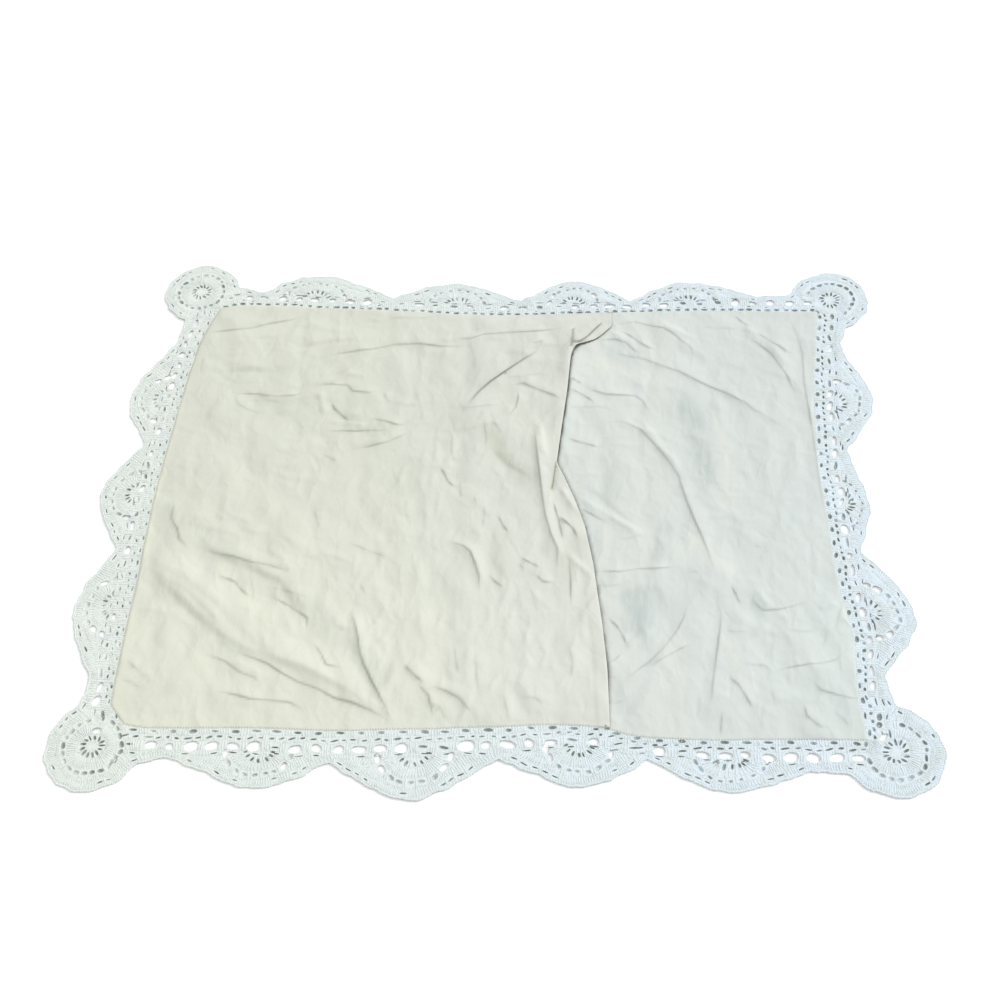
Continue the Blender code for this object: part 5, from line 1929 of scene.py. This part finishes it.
def crochet_cotton(name, shades):
    """Crochet yarn, twisted, a little fuzzy and worn in patches."""
    yarn = Nodes(name)
    # Towards the window the yarn turns bluer with painted cool window light.
    broad = yarn.mix(yarn.along("X", *YARN_WINDOW_LIGHT_TURN), shades.left, shades.right)
    spots = yarn.ramp(yarn.noise(*WORN_NOISE), *shades.patches)
    colour = yarn.mix(yarn.combined("MULTIPLY", spots, WORN_SHARE), broad, shades.worn)
    specks = yarn.ramp(yarn.noise(*SPECK_NOISE), *SPECK_SPAN)
    colour = yarn.mix(yarn.combined("MULTIPLY", specks, SPECK_SHARE), colour, SPECKS)
    normal = yarn.bump(yarn.noise(*TWIST_NOISE), *TWIST_BUMP)
    normal = yarn.bump(yarn.noise(*FUZZ_NOISE), *FUZZ_BUMP, normal)
    return yarn.finish(colour, normal, *YARN_FINISH)


def floor_material():
    """A plain pale floor."""
    floor = Nodes("plain_floor")
    soft = floor.combined("MULTIPLY", floor.noise(*FLOOR_NOISE), FLOOR_SHARE)
    colour = floor.mix(soft, *FLOOR_COLOURS)
    normal = floor.bump(floor.noise(*GRAIN_NOISE), *GRAIN_BUMP)
    return floor.finish(colour, normal, *FLOOR_FINISH)


# ---------------------------------------------------------------- floor, light and camera

CAMERA_PLACE = (0.11476, -0.81045, 1.12376)
CAMERA_FORWARD = (-0.08021, 0.58224, -0.80905)
CAMERA_RIGHT = (0.99676, 0.05233, -0.06116)
CAMERA_LENS = 50.956
CAMERA_NEAREST = 0.01
FLOOR_SIZE = 6.0
WORLD_COLOUR = (0.97, 0.985, 1.0)
WORLD_STRENGTH = 0.74
KEY_ENERGY = 2.58
KEY_COLOUR = (0.97, 0.985, 1.0)
KEY_DIRECTION = (-0.74, -0.42, -0.52)
KEY_SOFTNESS = 50.0
FILL_ENERGY = 0.39
FILL_COLOUR = (1.0, 0.95, 0.86)
FILL_DIRECTION = (0.6, 0.5, -0.75)
FILL_SOFTNESS = 90.0


def add_camera():
    """The photograph's viewpoint."""
    data = bpy.data.cameras.new("camera")
    data.lens = CAMERA_LENS
    data.clip_start = CAMERA_NEAREST
    camera = new_object("camera", data)
    forward, right = Vector(CAMERA_FORWARD).normalized(), Vector(CAMERA_RIGHT).normalized()
    up = right.cross(forward)
    turn = Matrix((right, up, -forward)).transposed().to_4x4()
    camera.matrix_world = Matrix.Translation(CAMERA_PLACE) @ turn
    bpy.context.scene.camera = camera


def add_sun(name, energy, colour, direction, softness):
    """A soft, even light from one direction."""
    data = bpy.data.lights.new(name, "SUN")
    data.energy = energy
    data.color = colour
    data.angle = math.radians(softness)
    light = new_object(name, data)
    light.rotation_euler = Vector(direction).to_track_quat("-Z", "Y").to_euler()


def add_surroundings():
    """Floor, lights and an even pale sky."""
    mesh = bpy.data.meshes.new("floor")
    half = FLOOR_SIZE / 2
    corners = [(-half, -half, 0), (half, -half, 0), (half, half, 0), (-half, half, 0)]
    mesh.from_pydata(corners, [], [(0, 1, 2, 3)])
    mesh.materials.append(floor_material())
    floor = new_object("floor", mesh)
    add_sun("window", KEY_ENERGY, KEY_COLOUR, KEY_DIRECTION, KEY_SOFTNESS)
    add_sun("room", FILL_ENERGY, FILL_COLOUR, FILL_DIRECTION, FILL_SOFTNESS)
    world = bpy.data.worlds.new("pale_sky")
    bpy.context.scene.world = world
    world.use_nodes = True
    sky = world.node_tree.nodes["Background"]
    sky.inputs["Color"].default_value = (*WORLD_COLOUR, 1.0)
    sky.inputs["Strength"].default_value = WORLD_STRENGTH
    bpy.context.scene.view_settings.view_transform = "Standard"


# ---------------------------------------------------------------- the scene

RIM = lace_loop()
CENTRE = (RIM.max(0) + RIM.min(0)) / 2
RIM = RIM + loop_normals(RIM) * rim_wobble(len(RIM))[:, None]

add_camera()
add_surroundings()

warm_cotton = cotton("warm_cotton", WARM)
cool_cotton = cotton("cool_cotton", WINDOW_TINTED)
front_cotton = cotton("front_cotton", FACE)
white_yarn = crochet_cotton("crochet_cotton", YARN)
dark_painted_shade_yarn = crochet_cotton("crochet_painted_shade_dark", HOLE_PAINTED_SHADE_DARK)
pale_painted_shade_yarn = crochet_cotton("crochet_painted_shade_pale", HOLE_PAINTED_SHADE_PALE)
hem_yarn = crochet_cotton("hem_stitches", HEM_YARN)

wide = wide_sheet(warm_cotton)
narrow = narrow_sheet(cool_cotton)
front = front_sheet(front_cotton)

openings = all_holes()
ground, lace_area = lace_ground(openings, (white_yarn, dark_painted_shade_yarn, pale_painted_shade_yarn))
seeded = np.random.default_rng(SEEDS["yarn"])
heading_rows, fan_rows, posts, loops = Yarn(), Yarn(), Yarn(), Yarn()
add_heading(heading_rows, posts, openings, seeded)
add_fans(fan_rows, posts, openings, seeded)
add_rim(fan_rows, posts, openings, seeded)
add_loops(loops, seeded)
yarn_pieces = [heading_rows.piece("crochet_heading_rows", white_yarn),
               fan_rows.piece("crochet_fan_rows", white_yarn),
               posts.piece("crochet_posts", white_yarn),
               loops.piece("crochet_edge_loops", hem_yarn)]

for piece, node, slot in ((wide, "back_panel_wide", "warm_cotton"),
                          (narrow, "back_panel_narrow", "cool_cotton"),
                          (front, "front_panel", "front_cotton"),
                          (ground, "lace_edging", "crochet_cotton")):
    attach(piece, "root")
    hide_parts(node)
for piece in yarn_pieces:
    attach(piece, "root")
    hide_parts("lace_edging")

bpy.context.view_layer.update()
